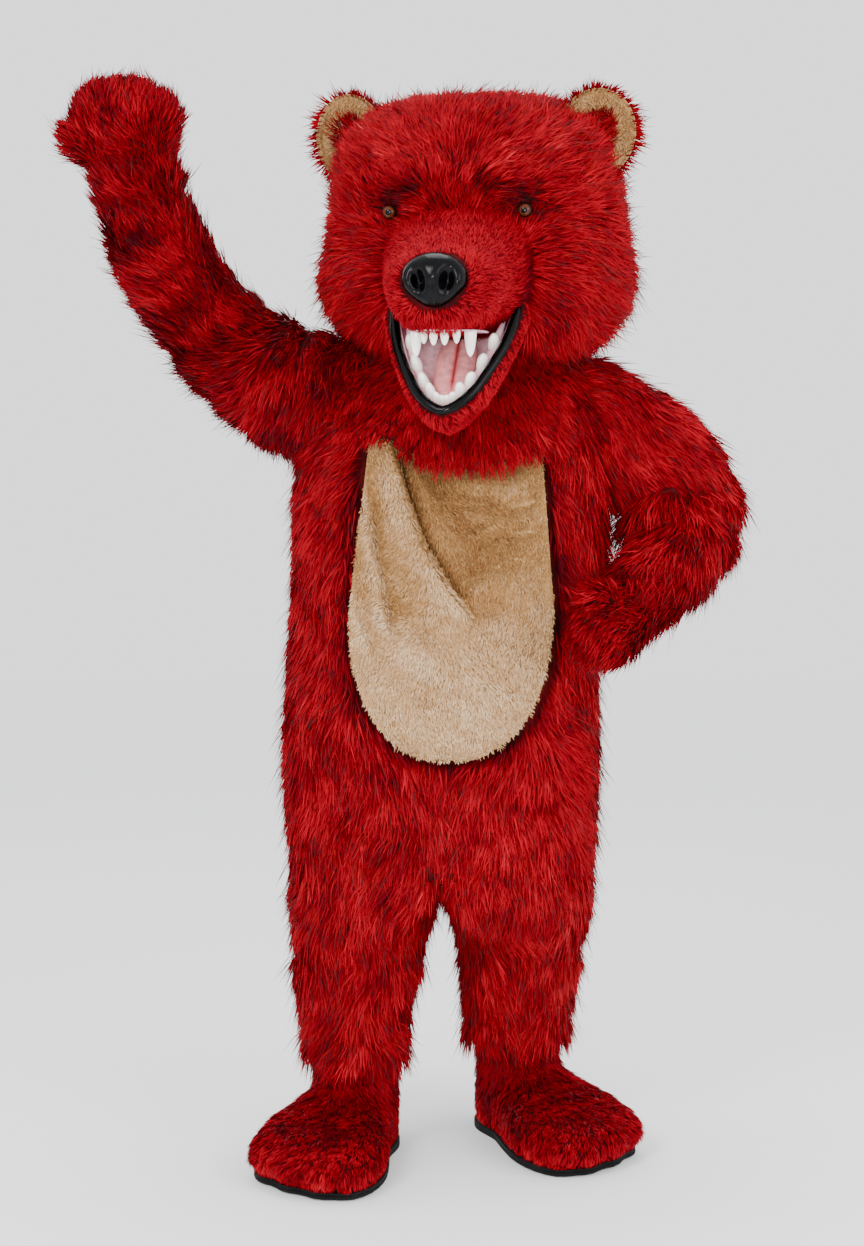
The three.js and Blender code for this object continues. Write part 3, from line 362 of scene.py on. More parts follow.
def roundLine(rows, u, v, moved=0, flatter=0):
    # an ellipse square to the centre line, with its depth as near the Y axis as it can lie
    row, centre, _, across, depth = lineFrame(rows, v)
    turn = 2 * math.pi * u
    wide = (row["across"] + moved) * np.cos(turn)
    deep = (row["depth"] + moved) * (1 - flatter) * np.sin(turn)
    return centre + across * wide[..., None] + depth * deep[..., None]


def sleeveSurface(side, u, v):
    # rolls run round the tube and wander a little, so that they are uneven
    wander = 0.012 * np.sin(2 * math.pi * u + 3) + 0.006 * np.sin(4 * math.pi * u)
    folded = sum(
        -deep * (0.75 + 0.35 * np.sin(2 * math.pi * u + 9 * place)) * bell(v - place - wander, wide)
        for place, deep, wide in sleeveFolds[side]
    )
    return roundLine(sleeveRows[side], u, v, folded)


def mittSurface(side, u, v):
    # three grooves run back from the tips between the fingers
    across = np.cos(2 * math.pi * u)
    groove = sum(bell(across - place, 0.13) for place in (-0.5, 0, 0.5))
    return roundLine(mittRows[side], u, v, 0, 0.14 * groove * smooth((v - 0.4) / 0.3))


def footReach(angle):
    # the edge table's reach at an angle
    angle = (angle + 180) % 360 - 180
    angles = footEdge["angle"]
    last = np.clip(np.searchsorted(angles, angle), 1, len(angles) - 1)
    t = (angle - angles[last - 1]) / (angles[last] - angles[last - 1])
    return rowsAt(footEdge, (last - 1 + t) / (len(angles) - 1))["reach"]


def footPoint(side, angle, height, spread):
    # a level of the foot at an angle from the toes, between the ankle's size and the sole's edge,
    # which is the mean of five places near the angle, so that it is round
    inner = 1 if side == "right" else -1
    x, y, turn = feet[side]
    groove = sum(bell(angle - place, 4.5) for place in foot["toeGrooves"])
    rounded = 1.025 * sum(footReach(angle + shift) for shift in (-9, -4.5, 0, 4.5, 9)) / 5
    edge = rounded * (1 - 0.035 * groove)
    reach = foot["ankle"] + (edge - foot["ankle"]) * spread
    heading = np.radians(turn + inner * angle)
    return stack(x + reach * np.sin(heading), y - reach * np.cos(heading), height)


def footSurface(side, u, v):
    # the shoe's top widens under the hem until it lies against the inside of the leg
    row = rowsAt(footRows, v)
    inner = 1 if side == "right" else -1
    angle = (inner * (360 * u - 180) + 180) % 360 - 180
    shoe = footPoint(side, angle, row["height"], row["spread"])
    leg = rowsAt(legRows[side], shareAt(legRows[side], "height", row["height"]))
    heading = np.radians(feet[side][2] + 360 * u - 180)
    depth = np.where(np.cos(heading) > 0, leg["front"], leg["back"])
    collar = stack(
        leg["x"] + (leg["half"] - foot["hemInset"]) * np.sin(heading),
        leg["y"] - (depth - foot["hemInset"]) * np.cos(heading),
        row["height"],
    )
    return shoe + (collar - shoe) * rising(row["height"], 186, 240)[..., None]


def flapSurface(u, v):
    # a collar of cloth over the suit that hangs lower in front and behind than at the sides
    front = np.maximum(0, -np.sin(2 * math.pi * u)) ** flap["hang"]
    back = np.maximum(0, np.sin(2 * math.pi * u)) ** flap["hang"]
    edge = flap["side"] - flap["frontDrop"] * front - flap["backDrop"] * back
    edge = edge + flapLift["rise"] * bell(u - flapLift["place"], flapLift["wide"])
    height = edge + (costume["neckTop"] - flap["topGap"] - edge) * v
    return torsoSurface(u, shareAt(torsoRows, "height", height), flap["standOff"])


# Belly panel
belly = {
    "low": 747, "wide": 1015, "top": 1350, "half": 184, "topHalf": 150, "middle": 15, "lean": 12,
    "follow": 56, "inset": 11, "edgeRound": 32, "square": 2.3, "steep": 0.88,
}
# curved rolls: the crease's places by height, the roll on its left and the hollow on its right
rollRows = table(
    "height deep middle outer",
    (900, 60, -62, -96), (960, 62, -76, -122), (1004, 56, -88, -143), (1052, 17, -98, -152),
    (1090, -6, -106, -157),
    (1136, -31, -113, -158), (1175, -47, -121, -152), (1216, -61, -129, -146), (1259, -74, -136, -140),
    (1303, -86, -142, -140), (1350, -98, -148, -140),
)
rolls = (
    # which crease, the roll's push and width, the hollow's, the heights it spans and its step
    ("deep", 20, 24, -21, 18, 985, 1346, 7), ("middle", 15, 15, -13, 15, 950, 1290, 14),
    ("outer", 11, 13, -11, 13, 920, 1190, 12),
)
# straight ones: the recess right of the crease, the soft rolls across it and the swirl at its end
bellyFolds = (
    (-34, 1348, 96, 1040, -15, 44), (40, 1330, 150, 1090, -5, 60), (52, 1052, 104, 1082, 15, 15),
    (104, 1082, 150, 1052, 8, 16), (62, 1024, 112, 1020, -9, 13), (-58, 1300, -2, 1214, -8, 9),
)
bellyWrinkles = (
    (10, 1246, 120, 1222, 8, 19), (24, 1208, 130, 1196, -7, 15), (120, 1198, 180, 1210, -6, 9),
    (40, 1184, 110, 1166, 6, 15), (122, 1172, 182, 1184, 6, 9), (58, 1150, 130, 1140, -6, 14),
    (120, 1150, 182, 1158, -5, 8), (130, 1128, 182, 1130, 5, 8), (66, 1116, 110, 1112, 5, 14),
    (124, 1106, 182, 1100, -5, 9), (126, 1232, 180, 1238, 5, 9), (50, 1272, 140, 1264, -6, 13),
    (-118, 1150, -84, 1040, 5, 10), (-150, 1090, -128, 960, 6, 10), (-132, 1060, -40, 1010, -8, 14),
    (-110, 1000, -20, 960, 6, 13), (-40, 985, 60, 952, -5, 15), (60, 900, 150, 880, -5, 16),
    (150, 1060, 178, 1010, 6, 10), (-84, 920, -20, 860, -5, 14), (-100, 1090, -50, 1064, -5, 9),
    (-30, 880, 40, 850, -4, 12), (100, 980, 150, 960, -4, 12), (-60, 1120, -30, 1060, -4, 9),
)


def fromCrease(x, z, name):
    # how far a place is from a crease, square to its slope
    return belly["steep"] * (x - np.interp(z, rollRows["height"], rollRows[name]))


def rollPush(x, z, roll):
    # a bell to the left of the crease less a bell to its right, which meet in a steep step on it
    name, high, wide, low, hollow, bottom, top, sharp = roll
    off = fromCrease(x, z, name)
    step = smooth(0.5 + off / sharp)
    pushed = high * bell(off + 0.6 * wide, wide) * (1 - step) + low * bell(off, hollow) * step
    return pushed * smooth((z - bottom) / 60) * smooth((top - z) / 50)


def bellyPush(x, z, flat=1.0):
    # the rolls, and the straight folds times a share
    straight = sum(foldPush(x, z, fold) for fold in bellyFolds + bellyWrinkles)
    return flat * straight + sum(rollPush(x, z, roll) for roll in rolls)


def bellyMiddle(height):
    return belly["middle"] + belly["lean"] * (height - belly["low"]) / (belly["top"] - belly["low"])


def bellyHalf(height):
    # half a superellipse at the lower end, and a straight taper above its widest place
    low = np.clip((belly["wide"] - height) / (belly["wide"] - belly["low"]), 0, 1)
    rise = np.clip((height - belly["wide"]) / (belly["top"] - belly["wide"]), 0, 1)
    lower = belly["half"] * (1 - low ** belly["square"]) ** (1 / belly["square"])
    upper = belly["half"] + (belly["topHalf"] - belly["half"]) * rise
    return np.where(height < belly["wide"], lower, upper)


def bellySurface(u, v):
    level = belly["low"] + (belly["top"] - belly["low"]) * v**1.5
    middle = bellyMiddle(level)
    lean = belly["follow"] * rising(level, 1000, 1350) * (1 - (2 * u - 1) ** 2)
    half = np.maximum(bellyHalf(level) - 1, 4)
    x = middle + (2 * u - 1) * half - lean
    row = rowsAt(torsoRows, shareAt(torsoRows, "height", level))
    beside = np.clip(np.abs((x - row["middle"]) / row["half"]), 0, 0.97) ** row["square"]
    gap = np.minimum(half - np.abs(x - middle), 1.4 * (level - belly["low"]))
    inside = smooth(gap / belly["edgeRound"])
    pushed = bellyPush(x, level)
    out = row["front"] * (1 - beside) ** (1 / row["square"]) + inside * (pushed - belly["inset"])
    return stack(x, -out, level)


def insideBelly(points, margin):
    # whether a place on the suit's front is inside the belly's outline
    x, y, z = points[..., 0], points[..., 1], points[..., 2]
    half = bellyHalf(np.clip(z, belly["low"], belly["top"])) + margin
    near = np.abs(x - bellyMiddle(z)) < half
    return near & (y < 0) & (z > belly["low"] - margin) & (z < belly["top"] + margin)


# Forms of the head, measured from its middle, which faces -Y before it is turned
headRows = table(
    "rise half front back square",
    (-222, 158, 128, 168, 2.1),
    (-196, 214, 168, 208, 2.1),
    (-152, 262, 198, 244, 2.1),
    (-92, 284, 212, 264, 2.1),
    (-22, 281, 214, 270, 2.1),
    (48, 272, 222, 268, 2.1),
    (108, 266, 214, 256, 2.1),
    (164, 250, 188, 230, 2.2),
    (212, 210, 144, 184, 2.2),
    (244, 140, 90, 120, 2.2),
    (256, 20, 14, 18, 2),
)
# brows, eye hollows, cheeks and the furrow between the brows: x, rise, wide, tall, push
faceForms = (
    (88, 74, 66, 30, 18), (-88, 74, 66, 30, 18), (122, 22, 44, 30, -13), (-122, 22, 44, 30, -13),
    (0, 110, 34, 60, -8), (170, -70, 70, 70, 16), (-170, -70, 70, 70, 16),
)
muzzleRows = table(
    "reach rise half up down",
    (120, -74, 138, 130, 110),
    (205, -80, 125, 108, 104),
    (275, -90, 112, 84, 95),
    (335, -101, 101, 64, 84),
    (378, -107, 87, 50, 73),
    (403, -111, 64, 38, 55),
    (414, -112, 30, 18, 26),
    (416, -112, 8, 5, 7),
)
mouth = {
    "reach": 205, "rise": -146, "half": 111, "down": 214, "up": 46, "slope": 55, "square": 1.9,
    "taper": 0.24, "jawWall": 20,
}
jawRows = table("out grow", (-95, -26), (-60, 2), (-28, 18), (-2, 18), (8, 11))
liningRows = table(
    "out grow", (0, -10), (-22, -10), (-46, -21), (-64, -48), (-72, -78), (-74, -100)
)
nose = {"reach": 400, "rise": -102, "half": 58, "tall": 50, "deep": 36, "scale": 0.96}


def toHead(x, y, z):
    # a place measured from the head's middle, as a place in the room
    c, s = math.cos(costume["headTurn"]), math.sin(costume["headTurn"])
    cx, cy, cz = costume["headCentre"]
    return stack(cx + c * x - s * y, cy + s * x + c * y, cz + z)


def fromHead(points):
    c, s = math.cos(costume["headTurn"]), math.sin(costume["headTurn"])
    local = points - np.array(costume["headCentre"], float)
    x, y = local[..., 0], local[..., 1]
    return stack(c * x + s * y, c * y - s * x, local[..., 2])


def facePush(x, rise):
    # how far the brows, cheeks and hollows stand out
    return sum(
        push * bell(x - formX, wide) * bell(rise - formRise, tall)
        for formX, formRise, wide, tall, push in faceForms
    )


def headSurface(u, v):
    row = rowsAt(headRows, v)
    x, y = sectionRound(2 * math.pi * u, row["half"], row["front"], row["back"], row["square"])
    pushed = facePush(x, row["rise"])
    return toHead(x, y - (y < 0) * pushed * smooth(-y / 60), row["rise"])


def muzzleSurface(u, v):
    row = rowsAt(muzzleRows, v)
    turn = 2 * math.pi * u
    tall = np.where(np.sin(turn) > 0, row["up"], row["down"])
    x, z = row["half"] * power(np.cos(turn), 0.86), tall * power(np.sin(turn), 0.86)
    return toHead(x, -row["reach"], row["rise"] + z)


def inMouth(across, down, out):
    # a place in the mouth's sloping plane: across, down to the chin, and out of the mouth
    slope = math.radians(mouth["slope"])
    y = -(mouth["reach"] + down * math.cos(slope) + out * math.sin(slope))
    return toHead(across, y, mouth["rise"] - down * math.sin(slope) + out * math.cos(slope))


def mouthLoop(u, grow, out):
    # the mouth's outline, grown or shrunk, which narrows to the chin. Half a turn runs past the chin
    turn = 2 * math.pi * u
    down = np.where(np.sin(turn) < 0, mouth["down"], mouth["up"])
    round_ = 2 / mouth["square"]
    narrow = 1 - mouth["taper"] * np.maximum(0, -np.sin(turn)) ** round_
    across = np.maximum(mouth["half"] + grow, 3) * power(np.cos(turn), round_) * narrow
    return inMouth(across, -np.maximum(down + grow, 3) * power(np.sin(turn), round_), out)


def loft(rows):
    # a form through rows of the mouth's outline
    def surface(u, v):
        row = rowsAt(rows, v)
        return mouthLoop(u, row["grow"], row["out"])

    return surface


def beadAlong(grow, out, radius, start, end, lumps):
    # a round bead along the mouth's outline, thin at its ends, with slow lumps in its size
    def surface(u, v):
        place = start + (end - start) * v
        centre = mouthLoop(place, grow, out)
        along = unit(mouthLoop(place + 0.004, grow, out) - mouthLoop(place - 0.004, grow, out))
        outwards = inMouth(0.0, 0.0, 1.0) - inMouth(0.0, 0.0, 0.0)
        across = unit(np.cross(along, np.broadcast_to(outwards, along.shape)))
        above = unit(np.cross(across, along))
        turn = 2 * math.pi * u
        size = radius * np.minimum(1, 0.35 + 6 * np.minimum(v, 1 - v))
        size = size * (1 + lumps * np.sin(37 * v + 2 * np.cos(turn)))
        sideways, upwards = size * np.cos(turn), size * np.sin(turn)
        return centre + across * sideways[..., None] - above * upwards[..., None]

    return surface


# Whether places lie inside a neighbour, so that nothing is rooted there
def insideTorso(points, margin=0):
    row = rowsAt(torsoRows, shareAt(torsoRows, "height", points[..., 2]))
    depth = np.where(points[..., 1] < 0, row["front"], row["back"]) + margin
    x = np.abs(points[..., 0] - row["middle"]) / (row["half"] + margin)
    level = (points[..., 2] > costume["crotch"]) & (points[..., 2] < costume["neckTop"])
    return level & (x ** row["square"] + np.abs(points[..., 1] / depth) ** row["square"] < 1)


def insideLine(rows, points, margin=0):
    row = rowsAt(rows, np.linspace(0, 1, 50))
    centres = stack(row["x"], row["y"], row["z"])
    size = np.maximum((row["across"] + row["depth"]) / 2 + margin, 1)
    flat = points.reshape(-1, 3)
    away = np.linalg.norm(flat[:, None, :] - centres[None], axis=-1) / size
    return (away.min(1) < 1).reshape(points.shape[:-1])


def insideHead(points, margin=0):
    local = fromHead(points)
    row = rowsAt(headRows, shareAt(headRows, "rise", local[..., 2]))
    depth = np.where(local[..., 1] < 0, row["front"], row["back"]) + margin
    x = np.abs(local[..., 0]) / (row["half"] + margin)
    level = (local[..., 2] > headRows["rise"][0]) & (local[..., 2] < headRows["rise"][-1])
    return level & (x ** row["square"] + np.abs(local[..., 1] / depth) ** row["square"] < 1)


def insideMuzzle(points, margin=0):
    local = fromHead(points)
    row = rowsAt(muzzleRows, shareAt(muzzleRows, "reach", -local[..., 1]))
    tall = np.where(local[..., 2] > row["rise"], row["up"], row["down"]) + margin
    x = np.abs(local[..., 0]) / (row["half"] + margin)
    z = np.abs(local[..., 2] - row["rise"]) / tall
    return (-local[..., 1] > 100) & (-local[..., 1] < 418) & (x**2.3 + z**2.3 < 1)


def insideNose(points, margin=0):
    # behind the nose's oval
    local = fromHead(points)
    across = local[..., 0] / (nose["half"] + margin)
    above = (local[..., 2] - nose["rise"]) / (nose["tall"] + margin)
    return (-local[..., 1] > nose["reach"] - 30) & (across**2 + above**2 < 1)


def insideJaw(points, margin=0):
    # inside the jaw's outline, between its inner end and its rim
    local = fromHead(points)
    slope = math.radians(mouth["slope"])
    y, z = -local[..., 1] - mouth["reach"], local[..., 2] - mouth["rise"]
    down = y * math.cos(slope) - z * math.sin(slope)
    out = y * math.sin(slope) + z * math.cos(slope)
    tall = np.where(down > 0, mouth["down"], mouth["up"]) + mouth["jawWall"] + margin
    narrow = 1 - mouth["taper"] * np.clip(down / tall, 0, 1)
    across = np.abs(local[..., 0]) / (mouth["half"] + mouth["jawWall"] + margin) / narrow
    within = across ** mouth["square"] + np.abs(down / tall) ** mouth["square"] < 1
    return (np.abs(out + 40) < 70) & within


# Materials
def tint(code):
    # a web colour as linear red, green, blue and alpha
    parts = [int(code[i : i + 2], 16) / 255 for i in (1, 3, 5)]
    return (*[p / 12.92 if p <= 0.04045 else ((p + 0.055) / 1.055) ** 2.4 for p in parts], 1)


def newMaterial(name, **sockets):
    made = bpy.data.materials.new(name)
    made.use_nodes = True
    shader = made.node_tree.nodes["Principled BSDF"]
    for socket, value in sockets.items():
        shader.inputs[socket.replace("_", " ")].default_value = value
    return made, shader


def addNode(made, kind, links=(), **values):
    # a node whose sockets are set by name, and joined from the outputs given in links
    found = made.node_tree.nodes.new(kind)
    for name, value in values.items():
        if hasattr(found, name):
            setattr(found, name, value)
        else:
            found.inputs[name.replace("_", " ")].default_value = value
    for socket, output in dict(links).items():
        made.node_tree.links.new(output, found.inputs[socket])
    return found


def ramp(made, factor, *stops):
    # a colour ramp through (place, colour) stops
    found = addNode(made, "ShaderNodeValToRGB", {"Fac": factor})
    points = found.color_ramp.elements
    while len(points) < len(stops):
        points.new(0.5)
    for point, (place, colour) in zip(points, stops):
        point.position = place
        point.color = tint(colour)
    return found.outputs["Color"]


def mixed(made, factor, first, second, blend="MIX"):
    # two colours mixed. The factor is a number or an output
    found = made.node_tree.nodes.new("ShaderNodeMix")
    found.data_type = "RGBA"
    found.blend_type = blend
    for socket, value in ((0, factor), (6, first), (7, second)):
        if isinstance(value, bpy.types.NodeSocket):
            made.node_tree.links.new(value, found.inputs[socket])
        else:
            found.inputs[socket].default_value = value
    return found.outputs[2]


def noise(made, vector, scale, detail=3.0, stretch=(1, 1, 1)):
    # fine noise on a mapped coordinate
    mapped = addNode(made, "ShaderNodeMapping", {"Vector": vector}, Scale=stretch).outputs[0]
    found = addNode(made, "ShaderNodeTexNoise", {"Vector": mapped}, Scale=scale, Detail=detail)
    return found.outputs["Fac"]


def places(made):
    # Object coordinates
    return addNode(made, "ShaderNodeTexCoord").outputs["Object"]


def bump(made, shader, height, strength, distance):
    sockets = {"Height": height}
    found = addNode(made, "ShaderNodeBump", sockets, Strength=strength, Distance=distance)
    made.node_tree.links.new(found.outputs[0], shader.inputs["Normal"])


def paint(made, shader, colour, socket="Base Color"):
    made.node_tree.links.new(colour, shader.inputs[socket])


guardTone = 0.9  # guard hairs have their tones from here up, and the others below


def hairMaterial(name, tones, rootShade, guardStops, roughness):
    # The hair's colour is a function of its UV place alone: tone across, root to tip along
    made, shader = newMaterial(name, Roughness=roughness, Specular_IOR_Level=0.03)
    uv = addNode(made, "ShaderNodeUVMap", uv_map="OFBake").outputs[0]
    parts = addNode(made, "ShaderNodeSeparateXYZ", {"Vector": uv})
    streak = noise(made, uv, 1.0, 2.0, (420, 3, 1))
    base = ramp(made, parts.outputs["X"], *tones)
    # the along ramp darkens each hair towards its root: painted shade deep in the pile
    along = ramp(made, parts.outputs["Y"], *rootShade)
    hair = mixed(made, 1.0, base, along, "MULTIPLY")
    streaks = ramp(made, streak, (0.3, "#6a6a6a"), (0.7, "#ffffff"))
    hair = mixed(made, 0.55, hair, streaks, "MULTIPLY")
    guard = ramp(made, parts.outputs["Y"], *guardStops)
    isGuard = addNode(made, "ShaderNodeMath", {0: parts.outputs["X"]}, operation="GREATER_THAN")
    isGuard.inputs[1].default_value = guardTone - 0.015
    paint(made, shader, mixed(made, isGuard.outputs[0], hair, guard))
    return made


redHair = hairMaterial(
    "redHair",
    ((0.0, "#46010c"), (0.22, "#730112"), (0.5, "#a6021a"), (0.7, "#c00a21"), (0.88, "#e2343c")),
    ((0.0, "#6d6d6d"), (0.45, "#e0e0e0"), (1.0, "#ffffff")),
    ((0.0, "#7a0a10"), (0.5, "#80070e"), (0.74, "#3a1214"), (1.0, "#332b2b")),
    0.5,
)
tanHair = hairMaterial(
    "tanHair",
    ((0.0, "#4a2c14"), (0.2, "#94643a"), (0.42, "#bd8b56"), (0.66, "#dcb184"), (0.88, "#f4d2aa")),
    ((0.0, "#a8a8a8"), (0.5, "#eeeeee"), (1.0, "#ffffff")),
    ((0.0, "#8a6238"), (0.5, "#b58d5c"), (1.0, "#d8b98c")),
    0.6,
)


def clothMaterial(name, dark, light, roughness):
    # the knitted ground under the pile, with the pile's own streaks on it
    made, shader = newMaterial(name, Roughness=roughness, Specular_IOR_Level=0.1)
    where = places(made)
    patches = noise(made, where, 14, 3)
    streaks = noise(made, where, 60, 4, (1, 1, 0.2))
    base = ramp(made, patches, (0.35, dark), (0.7, light))
    shades = ramp(made, streaks, (0.3, "#555555"), (0.75, "#ffffff"))
    paint(made, shader, mixed(made, 0.6, base, shades, "MULTIPLY"))
    bump(made, shader, streaks, 0.6, 0.003)
    return made


# the red ground is the fabric's backing, painted darker than the hair as painted shade deep in the pile
redCloth = clothMaterial("redCloth", "#2c0104", "#580409", 0.9)
tanCloth = clothMaterial("tanCloth", "#9a7145", "#c59a68", 0.9)


def rubberMaterial(name, low, high, roughness, coat, grain, shine=0.5):
    # moulded rubber: slow blotches of colour, fine pores and a wet coat
    made, shader = newMaterial(
        name, Roughness=roughness, Coat_Weight=coat, Coat_Roughness=0.12, Specular_IOR_Level=shine
    )
    where = places(made)
    paint(made, shader, ramp(made, noise(made, where, 34, 3), (0.35, low), (0.68, high)))
    bump(made, shader, noise(made, where, grain, 4), 0.35, 0.0012)
    return made


blackRubber = rubberMaterial("blackRubber", "#010102", "#050507", 0.16, 0.06, 240, 0.09)
gumRubber = rubberMaterial("gumRubber", "#cf98a8", "#f2ced6", 0.3, 0.3, 120)
toothEnamel = rubberMaterial("toothEnamel", "#efe6da", "#fdfaf5", 0.2, 0.5, 60)
soleRubber = rubberMaterial("soleRubber", "#060607", "#101011", 0.8, 0.0, 300, 0.15)
zipMetal, zipShader = newMaterial("zipMetal", Roughness=0.3, Metallic=0.9)
metalGrain = noise(zipMetal, places(zipMetal), 900, 2)
paint(zipMetal, zipShader, ramp(zipMetal, metalGrain, (0.3, "#76787c"), (0.7, "#a9abb0")))
zipCloth = clothMaterial("zipCloth", "#3c0306", "#6a0c12", 0.8)


def attributeMaterial(name, attribute, roughness, coat, *stops, shine=0.3):
    # a colour that follows a number kept on the piece's own points
    made, shader = newMaterial(
        name, Roughness=roughness, Coat_Weight=coat, Coat_Roughness=0.06, Specular_IOR_Level=shine
    )
    kept = addNode(made, "ShaderNodeAttribute", attribute_name=attribute).outputs["Fac"]
    mottle = ramp(made, noise(made, places(made), 90, 3), (0.3, "#d8d8d8"), (0.7, "#ffffff"))
    paint(made, shader, mixed(made, 1.0, ramp(made, kept, *stops), mottle, "MULTIPLY"))
    bump(made, shader, noise(made, places(made), 160, 3), 0.25, 0.001)
    return made


# its "groove" number carries painted shade into the groove and a little under the tongue
tongueRubber = attributeMaterial(
    "tongueRubber", "groove", 0.3, 0.3, (0.0, "#ffa8a8"), (0.5, "#f48688"), (1.0, "#98101e")
)
# its "corner" number carries painted shade into the mouth's upper corners
liningRubber = attributeMaterial(
    "liningRubber", "corner", 0.35, 0.2, (0.0, "#f0b6be"), (0.45, "#c98090"), (1.0, "#1c0a18"),
    shine=0.2,
)
eyeGlass = attributeMaterial(
    "eyeGlass", "iris", 0.12, 0.08,
    (0.0, "#020101"), (0.36, "#030101"), (0.42, "#5a2812"), (0.78, "#42190a"), (0.88, "#0c0504"),
    (1.0, "#1c0c08"), shine=0.12,
)


# Meshes
def toFrame(points):
    return (points - np.array(costume["shoulders"], float)) * mm


def addObject(name, data):
    made = bpy.data.objects.new(name, data)
    bpy.context.scene.collection.objects.link(made)
    return made


def putMesh(name, points, quads, triangles, material, rounded=True, uv=None):
    # faces are given as rows of point numbers, first the quads and then the triangles
    loops = np.concatenate([np.ravel(quads), np.ravel(triangles)]).astype(np.int32)
    starts = np.concatenate(
        [4 * np.arange(len(quads)), 4 * len(quads) + 3 * np.arange(len(triangles))]
    ).astype(np.int32)
    mesh = bpy.data.meshes.new(name)
    mesh.vertices.add(len(points))
    mesh.vertices.foreach_set("co", toFrame(points).astype(np.float32).ravel())
    mesh.loops.add(len(loops))
    mesh.loops.foreach_set("vertex_index", loops)
    mesh.polygons.add(len(starts))
    mesh.polygons.foreach_set("loop_start", starts)
    mesh.polygons.foreach_set("use_smooth", np.full(len(starts), rounded))
    if uv is not None:
        layer = mesh.uv_layers.new(name="OFBake")
        layer.data.foreach_set("uv", uv.astype(np.float32).ravel())
    mesh.update(calc_edges=True)
    mesh.materials.append(material)
    return addObject(name, mesh)


def gridFaces(rows, columns, wrap):
    # quads of a grid of points, in the order round and then along
    across = columns if wrap else columns - 1
    row, column = np.meshgrid(np.arange(rows - 1), np.arange(across), indexing="ij")
    after = (column + 1) % columns
    corners = (row * columns + column, row * columns + after)
    return np.stack([*corners, corners[1] + columns, corners[0] + columns], -1).reshape(-1, 4)


def capped(grid, ends, first=0):
    # a grid that is closed round, with a fan to a place at each end. Its numbers start at first
    rows, columns = grid.shape[:2]
    count, ring = rows * columns, np.arange(columns)
    last = count - columns + ring
    fans = [
        np.stack([np.roll(ring, -1), ring, np.full(columns, count)], -1),
        np.stack([last, np.roll(last, -1), np.full(columns, count + 1)], -1),
    ]
    points = np.concatenate([grid.reshape(-1, 3), np.array(ends, float)])
    return points, gridFaces(rows, columns, True) + first, np.concatenate(fans) + first


def ringShares(around, rows):
    # shares round and along for a grid that is closed round
    return np.meshgrid(np.linspace(0, 1, around + 1)[:-1], np.linspace(0, 1, rows))


def cutOf(points, quads):
    # the flat cut that a grid of cloth comes from: its widest row, its longest column and its area
    wide = np.linalg.norm(np.diff(points, axis=1), axis=-1).sum(1).max()
    long = np.linalg.norm(np.diff(points, axis=0), axis=-1).sum(0).max()
    flat = points.reshape(-1, 3)
    a, b, c, d = (flat[quads[:, k]] for k in range(4))
    area = 0.5 * np.linalg.norm(np.cross(c - a, d - b), axis=-1).sum()
    return (wide * mm, long * mm), area * mm * mm


def makeShell(name, surface, size, span, material, thick, keep=None, flip=False, tip=False):
    # a grid over a span of the surface, without the faces that a neighbour hides. A tip closes
    # its far end, and "sheet" keeps a whole span open at its side edges
    round_, along = size
    fromU, toU, fromV, toV = span
    wrap = toU - fromU > 0.9999 and tip != "sheet"
    us = np.linspace(fromU, toU, round_ + 1)[: round_ if wrap else round_ + 1]
    vs = np.linspace(fromV, toV, along + 1)
    u, v = np.meshgrid(us, vs)
    points = surface(u, v)
    quads = gridFaces(len(vs), len(us), wrap)
    flat = points.reshape(-1, 3)
    if keep is not None:
        middles = flat[quads].mean(1)
        quads = quads[keep(middles)]
    looped = np.concatenate([points, points[:, :1]], 1) if wrap else points
    flatSize, area = cutOf(looped, quads)
    triangles = np.zeros((0, 3), int)
    if tip is True:
        ring = (len(vs) - 1) * len(us) + np.arange(len(us))
        flat = np.concatenate([flat, flat[ring].mean(0)[None]])
        triangles = np.stack([ring, np.roll(ring, -1), np.full(len(ring), len(flat) - 1)], -1)
    if flip:
        quads, triangles = quads[:, ::-1], triangles[:, ::-1]
    used = np.unique(np.concatenate([quads.ravel(), triangles.ravel()]))
    renumber = np.zeros(len(flat), int)
    renumber[used] = np.arange(len(used))
    made = putMesh(name, flat[used], renumber[quads], renumber[triangles], material)
    wall = made.modifiers.new("wall", "SOLIDIFY")
    wall.thickness = thick * mm
    wall.offset = -1
    return made, flatSize, area


# Fur
def spreadRoots(surface, span, spacing, seed):
    # A jittered golden sequence, warped by the sums of the cloth's own area so that it is even
    fromU, toU, fromV, toV = span
    cells, step = 120, 0.002
    middles = (np.arange(cells) + 0.5) / cells
    u, v = np.meshgrid(fromU + (toU - fromU) * middles, fromV + (toV - fromV) * middles)
    v = np.clip(v, step, 1 - step)
    around = surface(u + step, v) - surface(u - step, v)
    forth = surface(u, v + step) - surface(u, v - step)
    area = np.linalg.norm(np.cross(around, forth), axis=-1) / (4 * step * step) + 1e-6
    count = int(area.mean() * (toU - fromU) * (toV - fromV) / spacing**2)
    rng = np.random.default_rng(seed)
    steps = np.arange(1, count + 1)[:, None] * np.array([0.7548776662, 0.5698402910])
    wanted = (steps + rng.random(2) + rng.normal(size=(count, 2)) * 0.45 / math.sqrt(count)) % 1
    across = np.concatenate([[0], np.cumsum(area.sum(0))]) / area.sum()
    u = np.interp(wanted[:, 0], across, np.arange(cells + 1) / cells)
    column = np.minimum((u * cells).astype(int), cells - 1)
    forward = np.cumsum(area, axis=0) / area.sum(0)
    forward = np.concatenate([np.zeros((1, cells)), forward])[:, column].astype(np.float32)
    above = np.clip((forward < wanted[:, 1]).sum(0), 1, cells)
    low, high = forward[above - 1, np.arange(count)], forward[above, np.arange(count)]
    v = (above - 1 + np.clip((wanted[:, 1] - low) / np.maximum(high - low, 1e-6), 0, 1)) / cells
    return fromU + (toU - fromU) * u, fromV + (toV - fromV) * v


